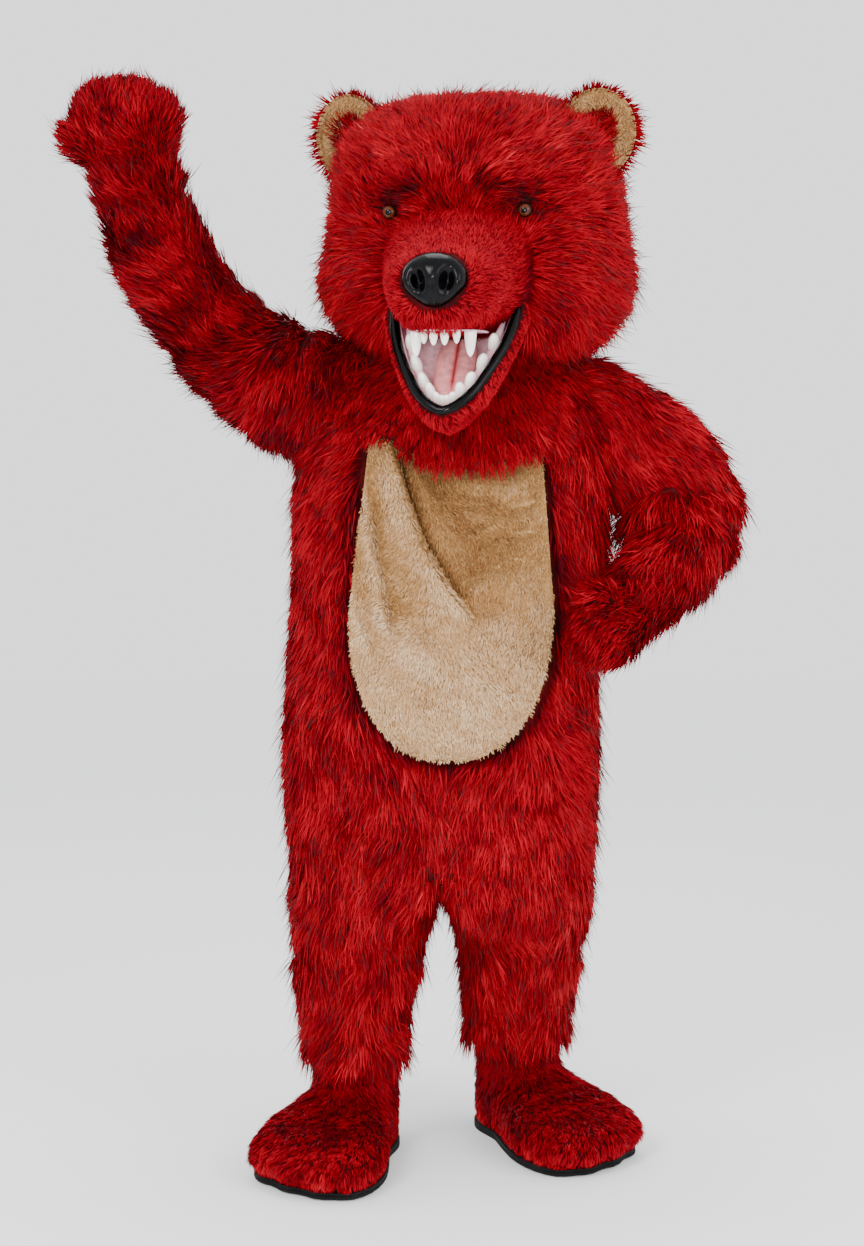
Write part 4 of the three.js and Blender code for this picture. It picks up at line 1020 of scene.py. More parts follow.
def clumpOf(points, size, seed):
    # The nearest of the centres scattered one to a cell, and that centre's random number
    cell = np.floor(points / size)
    nearest = np.full(len(points), np.inf)
    centres, number = np.zeros_like(points), np.zeros(len(points))
    keys = np.array([[12.99, 78.23, 37.72], [39.35, 11.14, 83.16], [73.16, 52.24, 9.15]])
    for shift in np.ndindex(3, 3, 3):
        corner = cell + np.array(shift) - 1
        scattered = (np.sin(corner @ keys + seed) * 43758.5453) % 1
        centre = (corner + scattered) * size
        away = ((points - centre) ** 2).sum(-1)
        closer = away < nearest
        nearest[closer] = away[closer]
        centres[closer] = centre[closer]
        number[closer] = scattered[closer, 0]
    return centres, number


# spacing between roots, each hair's length, height above the cloth, width and clump, how far it
# gathers, the share of long dark guard hairs, how far it droops, and how much its tone varies
# slowly and from clump to clump
styleColumns = "spacing length rise width clump pull guards droop slow patch".split()
styles = {
    name: dict(zip(styleColumns, values))
    for name, *values in (
        ("long", 3.9, 50, 19, 3.9, 19, 0.62, 0.08, 7, 0.12, 0.24),
        ("head", 3.6, 44, 17, 3.3, 21, 0.68, 0.11, 3, 0.07, 0.22),
        ("mitt", 3.7, 36, 14, 3.4, 16, 0.5, 0.1, 2, 0.08, 0.2),
        ("foot", 3.2, 25, 8, 2.8, 18, 0.5, 0.0, 2, 0.09, 0.13),
        ("short", 2.6, 14, 6, 2.2, 12, 0.3, 0.0, 0, 0.05, 0.12),
        ("chin", 2.8, 17, 7, 2.4, 13, 0.35, 0.0, 2, 0.06, 0.14),
        ("plush", 2.3, 12, 5, 2.0, 15, 0.2, 0.0, 0, 0.045, 0.1),
        ("ear", 2.5, 13, 6, 2.0, 14, 0.2, 0.0, 0, 0.03, 0.08),
        ("tuft", 3.2, 36, 18, 3.0, 14, 0.5, 0.04, 0, 0.06, 0.2),
    )
}
hair = {
    "swirl": 0.42, "loose": 0.2,  # how far the nap wanders slowly and from hair to hair, in radians
    "middle": 0.42,  # the share of a ribbon's length where it is widest
    "tone": 0.4, "toneSpread": 0.07, "curl": 0.09, "twist": 0.95,
    "guardLength": 1.3, "guardRise": 1.85, "guardWidth": 0.55,
}
hairCount = {}


def growFur(
    name, surface, span, style, flow, material, keep=None, trim=None, shade=None, seed=1, flip=False
):
    # Each hair is a ribbon that rises from its root, leans along the nap and gathers in clumps
    rng = np.random.default_rng(seed)
    u, v = spreadRoots(surface, span, style["spacing"], seed)
    roots = surface(u, v)
    normals = outward(surface, u, v, 0.008) * (-1 if flip else 1)
    if keep is not None:
        chosen = keep(roots)
        u, v, roots, normals = u[chosen], v[chosen], roots[chosen], normals[chosen]
    count = len(roots)
    side = unit(np.cross(normals, unit(flow(roots, normals, u, v))))
    nap = np.cross(side, normals)
    stray = hair["loose"] * (1.3 if style["length"] < 15 else 1)
    turn = (hair["swirl"] * ripple(roots, 150, seed + 1) + stray * rng.normal(size=count))[:, None]
    nap, side = np.cos(turn) * nap + np.sin(turn) * side, np.cos(turn) * side - np.sin(turn) * nap
    centres, clumpTone = clumpOf(roots, style["clump"], seed + 2)
    gather = centres - roots
    gather = (gather - normals * dot(gather, normals)) * style["pull"]
    size = (trim(roots) if trim is not None else np.ones(count)) * (0.8 + 0.35 * clumpTone)
    size = size * rng.uniform(0.8, 1.15, count)
    guard = rng.random(count) < style["guards"]
    length = style["length"] * size * np.where(guard, hair["guardLength"], 1)
    rise = style["rise"] * size * rng.uniform(0.55, 1.25, count)
    rise = rise * np.where(guard, hair["guardRise"], 1)
    run = np.sqrt(np.maximum(length**2 - rise**2, (0.4 * length) ** 2))
    curl = rng.normal(size=count) * hair["curl"] * length
    twist = rng.uniform(-hair["twist"], hair["twist"], count)[:, None]
    flatSide = np.cos(twist) * side + np.sin(twist) * normals
    wide = style["width"] * rng.uniform(0.7, 1.2, count) * np.where(guard, hair["guardWidth"], 1)
    spread = (wide / 2)[:, None] * flatSide

    def along(s):
        lift = (rise * (1.55 * s - 0.55 * s * s))[:, None] * normals
        lean = (run * s)[:, None] * nap + (curl * s * s)[:, None] * side
        down = np.array([0, 0, -1.0]) * style["droop"] * s * s
        return roots + lift + lean + gather * s + down

    middle = along(hair["middle"])
    corners = np.stack([roots, middle - spread, middle + spread, along(1.0)], 1)
    first = 4 * np.arange(count)[:, None]
    triangles = np.concatenate([first + np.array([0, 1, 2]), first + np.array([2, 1, 3])])
    tone = hair["tone"] + style["slow"] * ripple(roots, 75, seed + 3)
    tone = tone + style["patch"] * (clumpTone - 0.5) + hair["toneSpread"] * rng.normal(size=count)
    if shade is not None:
        tone = tone + shade(roots)
    left = np.where(guard, guardTone + 0.06 * rng.random(count), np.clip(tone, 0.01, 0.84))
    right = left + 0.03
    zero, half, one = np.zeros(count), np.full(count, hair["middle"]), np.ones(count)
    middleOf = (left + right) / 2
    rootUv = np.stack([middleOf, zero, left, half, right, half], -1).reshape(-1, 2)
    tipUv = np.stack([right, half, left, half, middleOf, one], -1).reshape(-1, 2)
    hairCount[name] = count
    made = putMesh(
        name, corners.reshape(-1, 3), np.zeros((0, 4), int), triangles, material, False,
        np.concatenate([rootUv, tipUv]),
    )
    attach(made, "root")
    return made


def takePlace(shell, node, slotName, *furs):
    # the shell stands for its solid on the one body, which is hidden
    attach(shell, "root")
    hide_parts(node)


def padPiece(shell, node, *furs):
    # a foam form under fur
    takePlace(shell, node, "head_fur", *furs)


def clothPiece(
    name, node, surface, size, span, pile, style, flow, seed, keep=None, rooted=None, trim=None,
    shade=None, flip=False, tip=False, step=0.003,
):
    # a sheet of fur cloth: its shell under the pile, and the fur on it
    ground = inset(surface, pile, flip, step)
    shell, flat, area = makeShell(
        name, ground, size, span, redCloth, costume["clothThick"], keep, flip, tip
    )
    fur = growFur(
        f"{name}Fur", ground, span, style, flow, redHair, rooted or keep, trim, shade, seed, flip
    )
    takePlace(shell, node, "red_fur", fur)


def halvesOf(firstSeed):
    # the back and the front of each side's tube: its span round and its seed
    for side in sides:
        for number, half in enumerate(("Back", "Front")):
            span = (number / 2, (number + 1) / 2)
            yield side, half, span, firstSeed + 2 * (side == "left") + number


def downwards(sideways):
    # the nap falls, and spreads away from the middle towards the sides
    def flow(points, normals, u, v):
        x = points[:, 0]
        return stack(sideways * np.sign(x) * smooth(np.abs(x) / 200), 0 * u, -1 + 0 * u)

    return flow


def bellySeamShadeAndSideLight(points):
    # darker fur as painted shade in the seam's shadow round the belly, and lighter fur as painted light to
    # its left side
    x, z = points[:, 0], points[:, 2]
    gap = np.abs(x - bellyMiddle(z)) - bellyHalf(np.clip(z, belly["low"], belly["top"]))
    low = np.where(z < belly["low"], np.hypot(np.maximum(gap, 0), belly["low"] - z), gap)
    edge = -0.3 * bell(np.maximum(low, 0), 14) * (points[:, 1] < 0) * (z < belly["top"])
    return edge + 0.06 * rising(x, 120, 220)


def outsideSleeves(points):
    return ~np.logical_or(*(insideLine(sleeveRows[side], points, -30) for side in sides))


armGap = {"place": (322.0, -30.0, 1130.0), "wide": 85, "longer": 1.1}


def besideArm(points):
    # longer fur on either side of the gap between the body and the arm on the hip
    away = np.linalg.norm(points - np.array(armGap["place"]), axis=-1)
    return 1 + armGap["longer"] * bell(away, armGap["wide"])


def zipMiddle(points):
    # the back's middle line at each place's height
    return rowsAt(torsoRows, shareAt(torsoRows, "height", points[..., 2]))["middle"]


def overZip(points, normals, u, v):
    # the nap falls, and closes over the zip from both sides
    off = points[:, 0] - zipMiddle(points)
    away = 0.2 * rising(np.abs(off), 60, 200) - 0.9 * bell(off, 45)
    return stack(away * np.sign(off), 0 * u, -1 + 0 * u)


print("making the suit's body")
suit = {"pile": 20, "size": (52, 60), "backSize": (26, 60), "clothTop": 1480, "furTop": 1420}
suit |= {"zipHalf": 0.0022, "zipClear": 10}
clothPiece(
    "suitFront", "suit_front", torsoSurface, suit["size"], (0.5, 1, 0, 1), suit["pile"],
    styles["long"], downwards(0.25), 11,
    keep=lambda p: outsideSleeves(p) & ~insideBelly(p, -6) & (p[..., 2] < suit["clothTop"]),
    rooted=lambda p: outsideSleeves(p) & ~insideBelly(p, 3) & (p[..., 2] < suit["furTop"]),
    shade=bellySeamShadeAndSideLight, trim=besideArm,
)


def besideZip(points):
    # where the back's fur is rooted: under the neck flap's edge and clear of the zip
    clear = np.abs(points[..., 0] - zipMiddle(points)) > suit["zipClear"]
    return outsideSleeves(points) & (points[..., 2] < suit["furTop"]) & clear


for side, start, end, seed in (
    ("left", 0, 0.25 - suit["zipHalf"], 12), ("right", 0.25 + suit["zipHalf"], 0.5, 13),
):
    clothPiece(
        f"suitBack{side.title()}", f"suit_back_{side}", torsoSurface, suit["backSize"],
        (start, end, 0, 1), suit["pile"], styles["long"], overZip, seed,
        keep=outsideSleeves, rooted=besideZip, trim=besideArm,
    )

print("making the legs, sleeves and mitts")
# tone: painted light, lighter fur on the left leg than on the right
leg = {"pile": 19, "size": (28, 36), "tone": {"right": 0.0, "left": 0.06}}
for side, half, span, seed in halvesOf(21):
    clothPiece(
        f"leg{side.title()}{half}", f"leg_{side}_{half.lower()}",
        lambda u, v: legSurface(side, u, v), leg["size"], (*span, 0.002, 1), leg["pile"],
        styles["long"], downwards(0.12), seed, shade=lambda p: leg["tone"][side] + 0 * p[:, 0],
        flip=True,
    )

# tone: painted shade, darker fur on both sleeves and most on the raised right one
sleeve = {"pile": 19, "size": (22, 54), "tone": {"right": -0.13, "left": -0.03}}


def alongLine(rows, fall):
    # the nap runs to the cuff, and falls where the share given by fall is high
    def flow(points, normals, u, v):
        _, _, along, _, _ = lineFrame(rows, v)
        down = fall(v)[:, None]
        return along * (1 - down) + np.array([0, 0, -1.0]) * down

    return flow


sleeveFall = {
    "right": lambda v: 0.75 * (1 - smooth((v - 0.2) / 0.35)), "left": lambda v: 0.35 + 0 * v
}
for side, half, span, seed in halvesOf(31):
    clothPiece(
        f"sleeve{side.title()}{half}", f"sleeve_{side}_{half.lower()}",
        lambda u, v: sleeveSurface(side, u, v), sleeve["size"], (*span, 0, 1), sleeve["pile"],
        styles["long"], alongLine(sleeveRows[side], sleeveFall[side]), seed,
        shade=lambda p: sleeve["tone"][side] + 0 * p[:, 0],
        keep=lambda p: ~insideTorso(p, -34), rooted=lambda p: ~insideTorso(p, -16), trim=besideArm,
    )

mitt = {"pile": 13, "size": (40, 30), "thumbPile": 9, "thumbSize": (20, 16)}
for number, side in enumerate(sides):
    cap = side.title()
    clothPiece(
        f"mitt{cap}", f"mitt_{side}", lambda u, v: mittSurface(side, u, v), mitt["size"],
        (0, 1, 0, 0.985), mitt["pile"], styles["mitt"], alongLine(mittRows[side], lambda v: 0 * v),
        41 + number, tip=True,
        rooted=lambda p: ~insideLine(thumbRows[side], p, -12),
        # painted shade: darker all over, and darker still beyond the mitt's mean round
        shade=lambda p: -0.07 - 0.2 * (~insideLine(mittRows[side], p, 0)),
    )
    clothPiece(
        f"thumb{cap}", f"thumb_{side}", lambda u, v: roundLine(thumbRows[side], u, v),
        mitt["thumbSize"], (0, 1, 0, 0.96), mitt["thumbPile"], styles["mitt"],
        alongLine(thumbRows[side], lambda v: 0 * v), 43 + number, tip=True,
        rooted=lambda p: ~insideLine(mittRows[side], p, -14),
    )

print("making the feet")
shoe = {"pile": 8, "size": (80, 34), "furLow": 15, "furTop": 205, "soleRound": 120, "soleRows": 11}
# the sole's side has rounded edges and a raised rib round it
soleRows = table(
    "height share", (0, 0.9), (2, 0.945), (6, 0.962), (9, 0.95), (11, 0.955), (14, 0.955)
)


def towardsSole(surface):
    # the nap runs down the foot's top to its edge
    def flow(points, normals, u, v):
        return surface(u, v) - surface(u, v + 0.004)

    return flow


def shoeTrim(points):
    # longer at the ankle, and short where the fur would touch the floor
    z = points[:, 2]
    return (0.8 + 0.9 * rising(z, 80, 160)) * (0.5 + 0.5 * rising(z, 22, 58))


def shoeShade(points):
    # lighter round the edge as painted light, and darker on top as painted shade
    z = points[:, 2]
    return 0.16 * rising(z, 60, 20) - 0.1 * rising(z, 60, 100)


for number, side in enumerate(sides):
    form = lambda u, v: footSurface(side, u, v)
    clothPiece(
        f"foot{side.title()}", f"foot_{side}_upper", form, shoe["size"], (0, 1, 0, 1),
        shoe["pile"], styles["foot"], towardsSole(form), 51 + number,
        trim=shoeTrim, shade=shoeShade, step=0.012,
        rooted=lambda p: (p[..., 2] < shoe["furTop"]) & (p[..., 2] > shoe["furLow"]),
    )
    u, v = ringShares(shoe["soleRound"], shoe["soleRows"])
    row = rowsAt(soleRows, v)
    grid = footPoint(side, 360 * u - 180, row["height"], row["share"])
    x, y, _ = feet[side]
    points, quads, fans = capped(grid, ((x, y, 0), (x, y, foot["soleThick"])))
    if side == "left":
        quads, fans = quads[:, ::-1], fans[:, ::-1]
    sole = putMesh(f"sole{side.title()}", points, quads, fans, soleRubber, False)
    takePlace(sole, f"foot_{side}_sole", "sole")

print("making the belly panel")
panel = {"size": (80, 116), "pile": 3}
bellyGround = inset(bellySurface, panel["pile"])
bellyShell, flat, area = makeShell(
    "bellyPanel", bellyGround, panel["size"], (0, 1, 0.004, 1), tanCloth, costume["clothThick"],
    tip="sheet",
)


def bellyNap(points, normals, u, v):
    # the plush lies down and wanders, and spreads over its own edge
    x, z = points[:, 0], points[:, 2]
    off = (x - bellyMiddle(z)) / bellyHalf(np.clip(z, belly["low"] + 60, belly["top"]))
    spread = off * (0.2 + 0.4 * smooth((np.abs(off) - 0.86) / 0.12))
    return stack(0.3 * np.sin(z / 60) + spread, 0 * u, -1 + 0 * u)


def bellyShade(points):
    # painted shade and highlight: the plush is darker in the folds' hollows and lighter on their rolls,
    # darkest in the deep crease and in the recess to its right, darker under the neck flap and over the
    # upper part, and lighter low down
    x, z = points[:, 0], points[:, 2]
    off = fromCrease(x, z, "deep")
    crease = bell(off - 4, 8) * rising(z, 985, 1045) * (1 + 0.5 * rising(z, 1130, 1250))
    under = 0.14 * rising(z, 1225, 1295)
    tone = 0.26 + 0.015 * np.clip(bellyPush(x, z, 0.8), -13, 14) - 0.23 * rising(z, 900, 1100)
    return tone - 0.3 * crease - 0.04 * smooth(off / 30) * rising(z, 1000, 1060) - under


def bellyTrim(points):
    # shorter along the seam
    x, z = points[:, 0], points[:, 2]
    off = np.abs(x - bellyMiddle(z)) / bellyHalf(np.clip(z, belly["low"] + 40, belly["top"]))
    edge = np.maximum(off, (belly["low"] + 34 - z) / 30)
    return 1 - 0.4 * smooth((edge - 0.84) / 0.12)


bellyFur = growFur(
    "bellyPanelPlush", bellyGround, (0.003, 0.997, 0.004, 1), styles["plush"], bellyNap, tanHair,
    trim=bellyTrim, shade=bellyShade, seed=61,
)
takePlace(bellyShell, "belly_panel", "tan_plush", bellyFur)

print("making the neck flap")


def flapTrim(points):
    # short fur over the belly's upper left corner
    x, z = points[:, 0], points[:, 2]
    short = 0.62 * bell(x + 86, 40) * rising(z, 1400, 1340) + 0.2 * rising(z, 1330, 1270)
    return 1 - np.minimum(short, 0.68) * (points[:, 1] < 0)


for number, half in enumerate(("Back", "Front")):
    clothPiece(
        f"neckFlap{half}", f"neck_flap_{half.lower()}", flapSurface, flap["size"],
        (number / 2, (number + 1) / 2, 0, 1), flap["pile"], styles["head"], downwards(0.3),
        71 + number,
        trim=flapTrim, keep=outsideSleeves,
        rooted=lambda p: outsideSleeves(p) & ~insideJaw(p, -4),
    )

print("making the head")
head = {"pile": 17, "wall": 8, "faceSize": (60, 64), "eyeGap": 17}
eyes = {"x": 120, "rise": 27, "radius": 13, "sunk": -3, "iris": 0.36}


def onFace(x, rise, sunk):
    # the place on the face at a distance across and a rise
    row = rowsAt(headRows, shareAt(headRows, "rise", rise))
    out = row["front"] * (1 - abs(x / row["half"]) ** row["square"]) ** (1 / row["square"])
    return toHead(x, -out - facePush(x, rise) + sunk, rise)


eyePlaces = {side: onFace(handOf[side] * eyes["x"], eyes["rise"], eyes["sunk"]) for side in sides}


def eyeDistance(points):
    # how far places are from the nearer eye
    return np.minimum(*(np.linalg.norm(points - place, axis=-1) for place in eyePlaces.values()))


def faceNap(points, normals, u, v):
    # the nap runs away from the nose, falls on the cheeks and turns down behind the head
    nosePlace = toHead(0.0, -330.0, -70.0)
    away = unit(points - nosePlace)
    local = fromHead(points)
    fall = 0.35 * rising(np.abs(local[:, 0]), 120, 240) * rising(local[:, 2], 60, -60)
    fall = fall + 1.2 * smooth(local[:, 1] / 120) + 1.6 * rising(local[:, 2], -130, -190)
    return away + np.array([0, 0, -1.0]) * fall[:, None]


def faceTrim(points):
    # shorter round the eyes and the muzzle, longer on the cheeks
    local = fromHead(points)
    near = rising(eyeDistance(points), 14, 60)
    cheeks = 0.25 * rising(np.abs(local[:, 0]), 150, 240) * rising(local[:, 2], 20, -60)
    forehead = 0.18 * bell(local[:, 0], 110) * bell(local[:, 2] - 60, 70) * (local[:, 1] < 0)
    skirt = 0.45 * rising(local[:, 2], -135, -185)
    return (0.3 + 0.7 * near) * (1 + cheeks - forehead + skirt)


def faceShade(points):
    # painted shade: darker under the brows and along them, in the furrow between them and round the muzzle
    local = fromHead(points)
    x, z, front = local[:, 0], local[:, 2], local[:, 1] < 0
    brow = bell(np.abs(x) - 104, 52) * bell(z - 38, 26)
    furrow = bell(x, 22) * bell(z - 100, 46)
    cheek = bell(np.abs(x) - 150, 30) * bell(z + 70, 90)
    line = bell(z - 80 + 0.32 * np.abs(x), 13)
    line = line * rising(np.abs(x), 8, 32) * rising(np.abs(x), 150, 110)
    return front * (0.05 - 0.34 * brow - 0.1 * furrow - 0.14 * cheek - 0.2 * line)


ground = inset(headSurface, head["pile"])
holes = {"Back": None, "Face": lambda p: ~insideMuzzle(p, -26) & ~insideJaw(p, -44)}
for number, (half, clear) in enumerate(holes.items()):
    span = (number / 2, (number + 1) / 2)
    shell, _, _ = makeShell(
        f"head{half}", ground, head["faceSize"], (*span, 0, 0.985), redCloth, head["wall"], clear
    )
    fur = growFur(
        f"head{half}Fur", ground, (*span, 0, 1), styles["head"], faceNap, redHair,
        lambda p: ~insideMuzzle(p, -12) & ~insideJaw(p, -10) & (eyeDistance(p) > head["eyeGap"]),
        faceTrim, faceShade, 81 + number,
    )
    padPiece(shell, f"head_{half.lower()}", fur)


def rubberPiece(
    name, node, surface, size, material, slotName, span=(0, 1, 0, 1), wall=0, keep=None,
    flip=False, tip=False,
):
    # a moulded form over a grid. With no wall it is solid, and closed at its tip
    made, _, _ = makeShell(name, surface, size, span, material, wall or 1, keep, flip, tip)
    if not wall:
        made.modifiers.clear()
    takePlace(made, node, slotName)
    return made


print("making the muzzle, the jaw and the mouth")


def muzzleNap(points, normals, u, v):
    # away from the nose, and down over the upper gum
    behind, ahead = np.maximum(v - 0.01, 0), np.minimum(v + 0.01, 1)
    away = unit(muzzleSurface(u, behind) - muzzleSurface(u, ahead))
    under = rising(fromHead(points)[:, 2], -135, -165)[:, None]
    return away * (1 - 0.85 * under) + np.array([0, 0, -1.0]) * under


def muzzleShade(points):
    # lighter on the bridge and the lip, and darker with painted shade where it meets the face
    local = fromHead(points)
    joint = bell(local[:, 1] + 205, 26) * rising(local[:, 2], -20, -80)
    return 0.08 * rising(-local[:, 1], 230, 350) - 0.02 - 0.26 * joint


def muzzleTrim(points):
    # long where it meets the face, so that no edge shows, and short towards the nose
    local = fromHead(points)
    under = 1.1 * rising(local[:, 2], -140, -170) * rising(-local[:, 1], 250, 310)
    return 1 + 1.5 * rising(-local[:, 1], 285, 195) + under


muzzle = {"pile": 6, "wall": 6, "size": (56, 44)}
ground = inset(muzzleSurface, muzzle["pile"])
shell, _, _ = makeShell(
    "muzzle", ground, muzzle["size"], (0, 1, 0, 0.99), redCloth, muzzle["wall"], tip=True,
    keep=lambda p: ~insideHead(p, -30) & ~insideNose(p, -9),
)
fur = growFur(
    "muzzleFur", ground, (0, 1, 0, 1), styles["short"], muzzleNap, redHair,
    lambda p: ~insideHead(p, -20) & ~insideNose(p, -3), muzzleTrim, muzzleShade, seed=91,
)
padPiece(shell, "muzzle", fur)

jaw = {"pile": 5, "wall": 5, "size": (72, 20)}
jawForm = loft(jawRows)
ground = inset(jawForm, jaw["pile"])
shell, _, _ = makeShell("jaw", ground, jaw["size"], (0, 1, 0, 1), redCloth, jaw["wall"])
fur = growFur(
    "jawFur", ground, (0.44, 1.06, 0.1, 0.97), styles["chin"],
    lambda p, n, u, v: jawForm(u, np.maximum(v - 0.03, 0)) - jawForm(u, np.minimum(v + 0.03, 1)),
    redHair, lambda p: ~insideMuzzle(p, -6), seed=92, shade=lambda p: 0.04 + 0 * p[:, 0],
    trim=lambda p: 0.55 + 0.35 * rising(fromHead(p)[:, 2], -250, -310),
)
padPiece(shell, "jaw", fur)

lip = {"grow": 0, "out": 3, "radius": 9, "start": 0.47, "end": 1.03, "lumps": 0.05}
gum = {"grow": -25, "out": -13, "radius": 8, "start": 0.5, "end": 1, "lumps": 0.06}
belowMuzzle = lambda p: ~insideMuzzle(p, -8)
rubberPiece(
    "lips", "lips", beadAlong(**lip), (20, 160), blackRubber, "black_rubber", keep=belowMuzzle
)
rubberPiece(
    "lowerGum", "lower_gum", beadAlong(**gum), (16, 120), gumRubber, "pink_rubber",
    keep=belowMuzzle,
)
lining = rubberPiece(
    "mouthLining", "mouth_lining", loft(liningRows), (72, 24), liningRubber, "pink_rubber",
    wall=2, flip=True, tip=True, keep=lambda p: ~insideMuzzle(p, -4),
)


def keepNumber(made, name, numbers):
    # a number on each of a piece's points, for its material
    layer = made.data.attributes.new(name, "FLOAT", "POINT")
    layer.data.foreach_set("value", np.asarray(numbers, np.float32))


def ownPoints(made):
    # a mesh's points, back in millimetres above the floor
    found = np.zeros(3 * len(made.data.vertices), np.float32)
    made.data.vertices.foreach_get("co", found)
    return found.reshape(-1, 3) / mm + np.array(costume["shoulders"], float)


# painted shade: dark in the mouth's upper corners, pink lower down
low = (mouth["rise"] - fromHead(ownPoints(lining))[:, 2]) / 60
keepNumber(lining, "corner", 1 - smooth((low - 0.1) / 0.9))
tongue = {"start": 22, "end": 166, "half": 36, "thick": 12, "out": -62, "lift": 16}


def tongueSurface(u, v):
    # an ellipse that tapers at both ends, with a groove down the middle of its top
    down = tongue["start"] + (tongue["end"] - tongue["start"]) * v
    wide = tongue["half"] * np.sqrt(np.maximum(1 - (1.9 * (v - 0.45)) ** 4, 0.004))
    turn = 2 * math.pi * u
    groove = 6 * bell(np.cos(turn), 0.16) * np.maximum(0, np.sin(turn)) * smooth(4 * (1 - v))
    thick = tongue["thick"] * np.sqrt(np.maximum(1 - (1.9 * (v - 0.45)) ** 6, 0.02)) - groove
    out = tongue["out"] + tongue["lift"] * v + thick * np.sin(turn)
    return inMouth(wide * np.cos(turn), down, out)


tongueMesh = rubberPiece(
    "tongue", "tongue", tongueSurface, (64, 60), tongueRubber, "tongue_rubber", tip=True
)
# painted shade in the groove, and a little on the underside
us, vs = ringShares(64, 61)
onTop = np.maximum(0, np.sin(2 * math.pi * us))
grooveNumber = bell(np.cos(2 * math.pi * us), 0.14) * onTop * smooth(3 * (1 - vs))
keepNumber(tongueMesh, "groove", np.append((grooveNumber + 0.3 * (1 - onTop)).ravel(), 0.2))

palate = {"half": 66, "back": 250, "deep": 128, "low": -187}


def palateReach(x):
    # how far out of the head the palate's round edge is, at a distance across
    return palate["back"] + palate["deep"] * np.sqrt(1 - (x / palate["half"]) ** 2)


def palateSurface(u, v):
    # a shallow dome over a half-round outline, with ridges across it
    turn = math.pi * u
    narrow = 1 - 0.98 * v
    x = palate["half"] * np.cos(turn) * narrow
    reach = palate["back"] + palate["deep"] * np.sin(turn) ** 0.8 * narrow
    ridge = 1.5 * np.sin(reach / 4.5) * smooth(3 * v)
    return toHead(x, -reach, palate["low"] + 12 * np.sin(math.pi / 2 * v) + ridge)


rubberPiece("palate", "palate", palateSurface, (48, 24), gumRubber, "pink_rubber", wall=3)


def toothGrid(root, direction, along, wide, thick, tall):
    # a rounded peg: its rings' size is the root of 1 less the height's share to the power 2.4
    u, v = ringShares(14, 10)
    size = np.sqrt(np.maximum(1 - v**2.4, 0.0004)) * (1 - 0.18 * v)
    across = unit(np.cross(along, direction))
    side = unit(np.cross(direction, across))
    turn = 2 * math.pi * u
    ring = side * (wide / 2 * size * np.cos(turn))[..., None]
    ring = ring + across * (thick / 2 * size * np.sin(turn))[..., None]
    return root + ring + direction * (tall * v)[..., None]


def toothRow(name, node, teeth):
    # teeth of one row as one mesh, each closed at its root and tip
    parts = []
    for tooth in teeth:
        grid = toothGrid(*tooth)
        ends = (grid[0].mean(0), grid[-1].mean(0))
        parts.append(capped(grid, ends, len(parts) * (grid[..., 0].size + 2)))
    made = putMesh(name, *(np.concatenate(part) for part in zip(*parts)), toothEnamel)
    takePlace(made, node, "teeth")


upperTeeth = table("x wide thick tall", (47, 22, 18, 46), (28, 15, 13, 24), (9.5, 17, 13, 27))
lowerTeeth = table(
    "place wide thick tall",
    (0.24, 32, 21, 26), (0.41, 34, 21, 28), (0.58, 32, 20, 27), (0.73, 24, 19, 33),
    (0.85, 19, 15, 22), (0.95, 17, 14, 20),
)
teeth = []
for x, wide, thick, tall in zip(*upperTeeth.values()):
    for hand in (-1, 1):
        root = toHead(hand * x, 16 - palateReach(x), palate["low"] + 3)
        teeth.append((root, np.array([0, 0, -1.0]), np.array([1.0, 0, 0]), wide, thick, tall))
toothRow("upperTeeth", "upper_teeth", teeth)
teeth = []
outOfMouth = unit(inMouth(0.0, 0.0, 1.0) - inMouth(0.0, 0.0, 0.0))
for place, wide, thick, tall in zip(*lowerTeeth.values()):
    for hand in (-1, 1):
        share = 0.75 + hand * 0.25 * (1 - place)
        ahead, behind = (mouthLoop(share + step, gum["grow"], 0) for step in (0.01, -0.01))
        root = mouthLoop(share, gum["grow"], gum["out"] + 4)
        teeth.append((root, outOfMouth, unit(ahead - behind), wide, thick, tall))
toothRow("lowerTeeth", "lower_teeth", teeth)

print("making the nose, the eyes and the ears")


def noseSurface(u, v):
    # a ball that is flatter on top, with two deep nostrils, their wings and a groove below
    turn, bend = 2 * math.pi * u, math.pi * v
    x = np.cos(turn) * np.sin(bend)
    z = np.sin(turn) * np.sin(bend)
    y = -np.cos(bend)
    narrow = 1 - 0.22 * smooth((-z - 0.1) / 0.8)
    hole = sum(bell(x * narrow - hand * (0.45 + 0.12 * z), 0.19) for hand in (-1, 1))
    hole = hole * bell(z + 0.08, 0.4)
    wing = sum(bell(x - hand * 0.78, 0.16) for hand in (-1, 1)) * bell(z + 0.15, 0.4)
    groove = bell(x, 0.09) * smooth((-z + 0.05) / 0.3)
    push = (0.12 * wing - 0.72 * hole - 0.12 * groove) * smooth((-y + 0.1) / 0.5)
    return toHead(
        nose["scale"] * nose["half"] * x * narrow * (1 + 0.05 * wing),
        -nose["reach"] + nose["deep"] * (y + push * np.minimum(y, 0)),
        nose["rise"] + nose["scale"] * nose["tall"] * z * (1 - 0.06 * smooth(z)),
    )


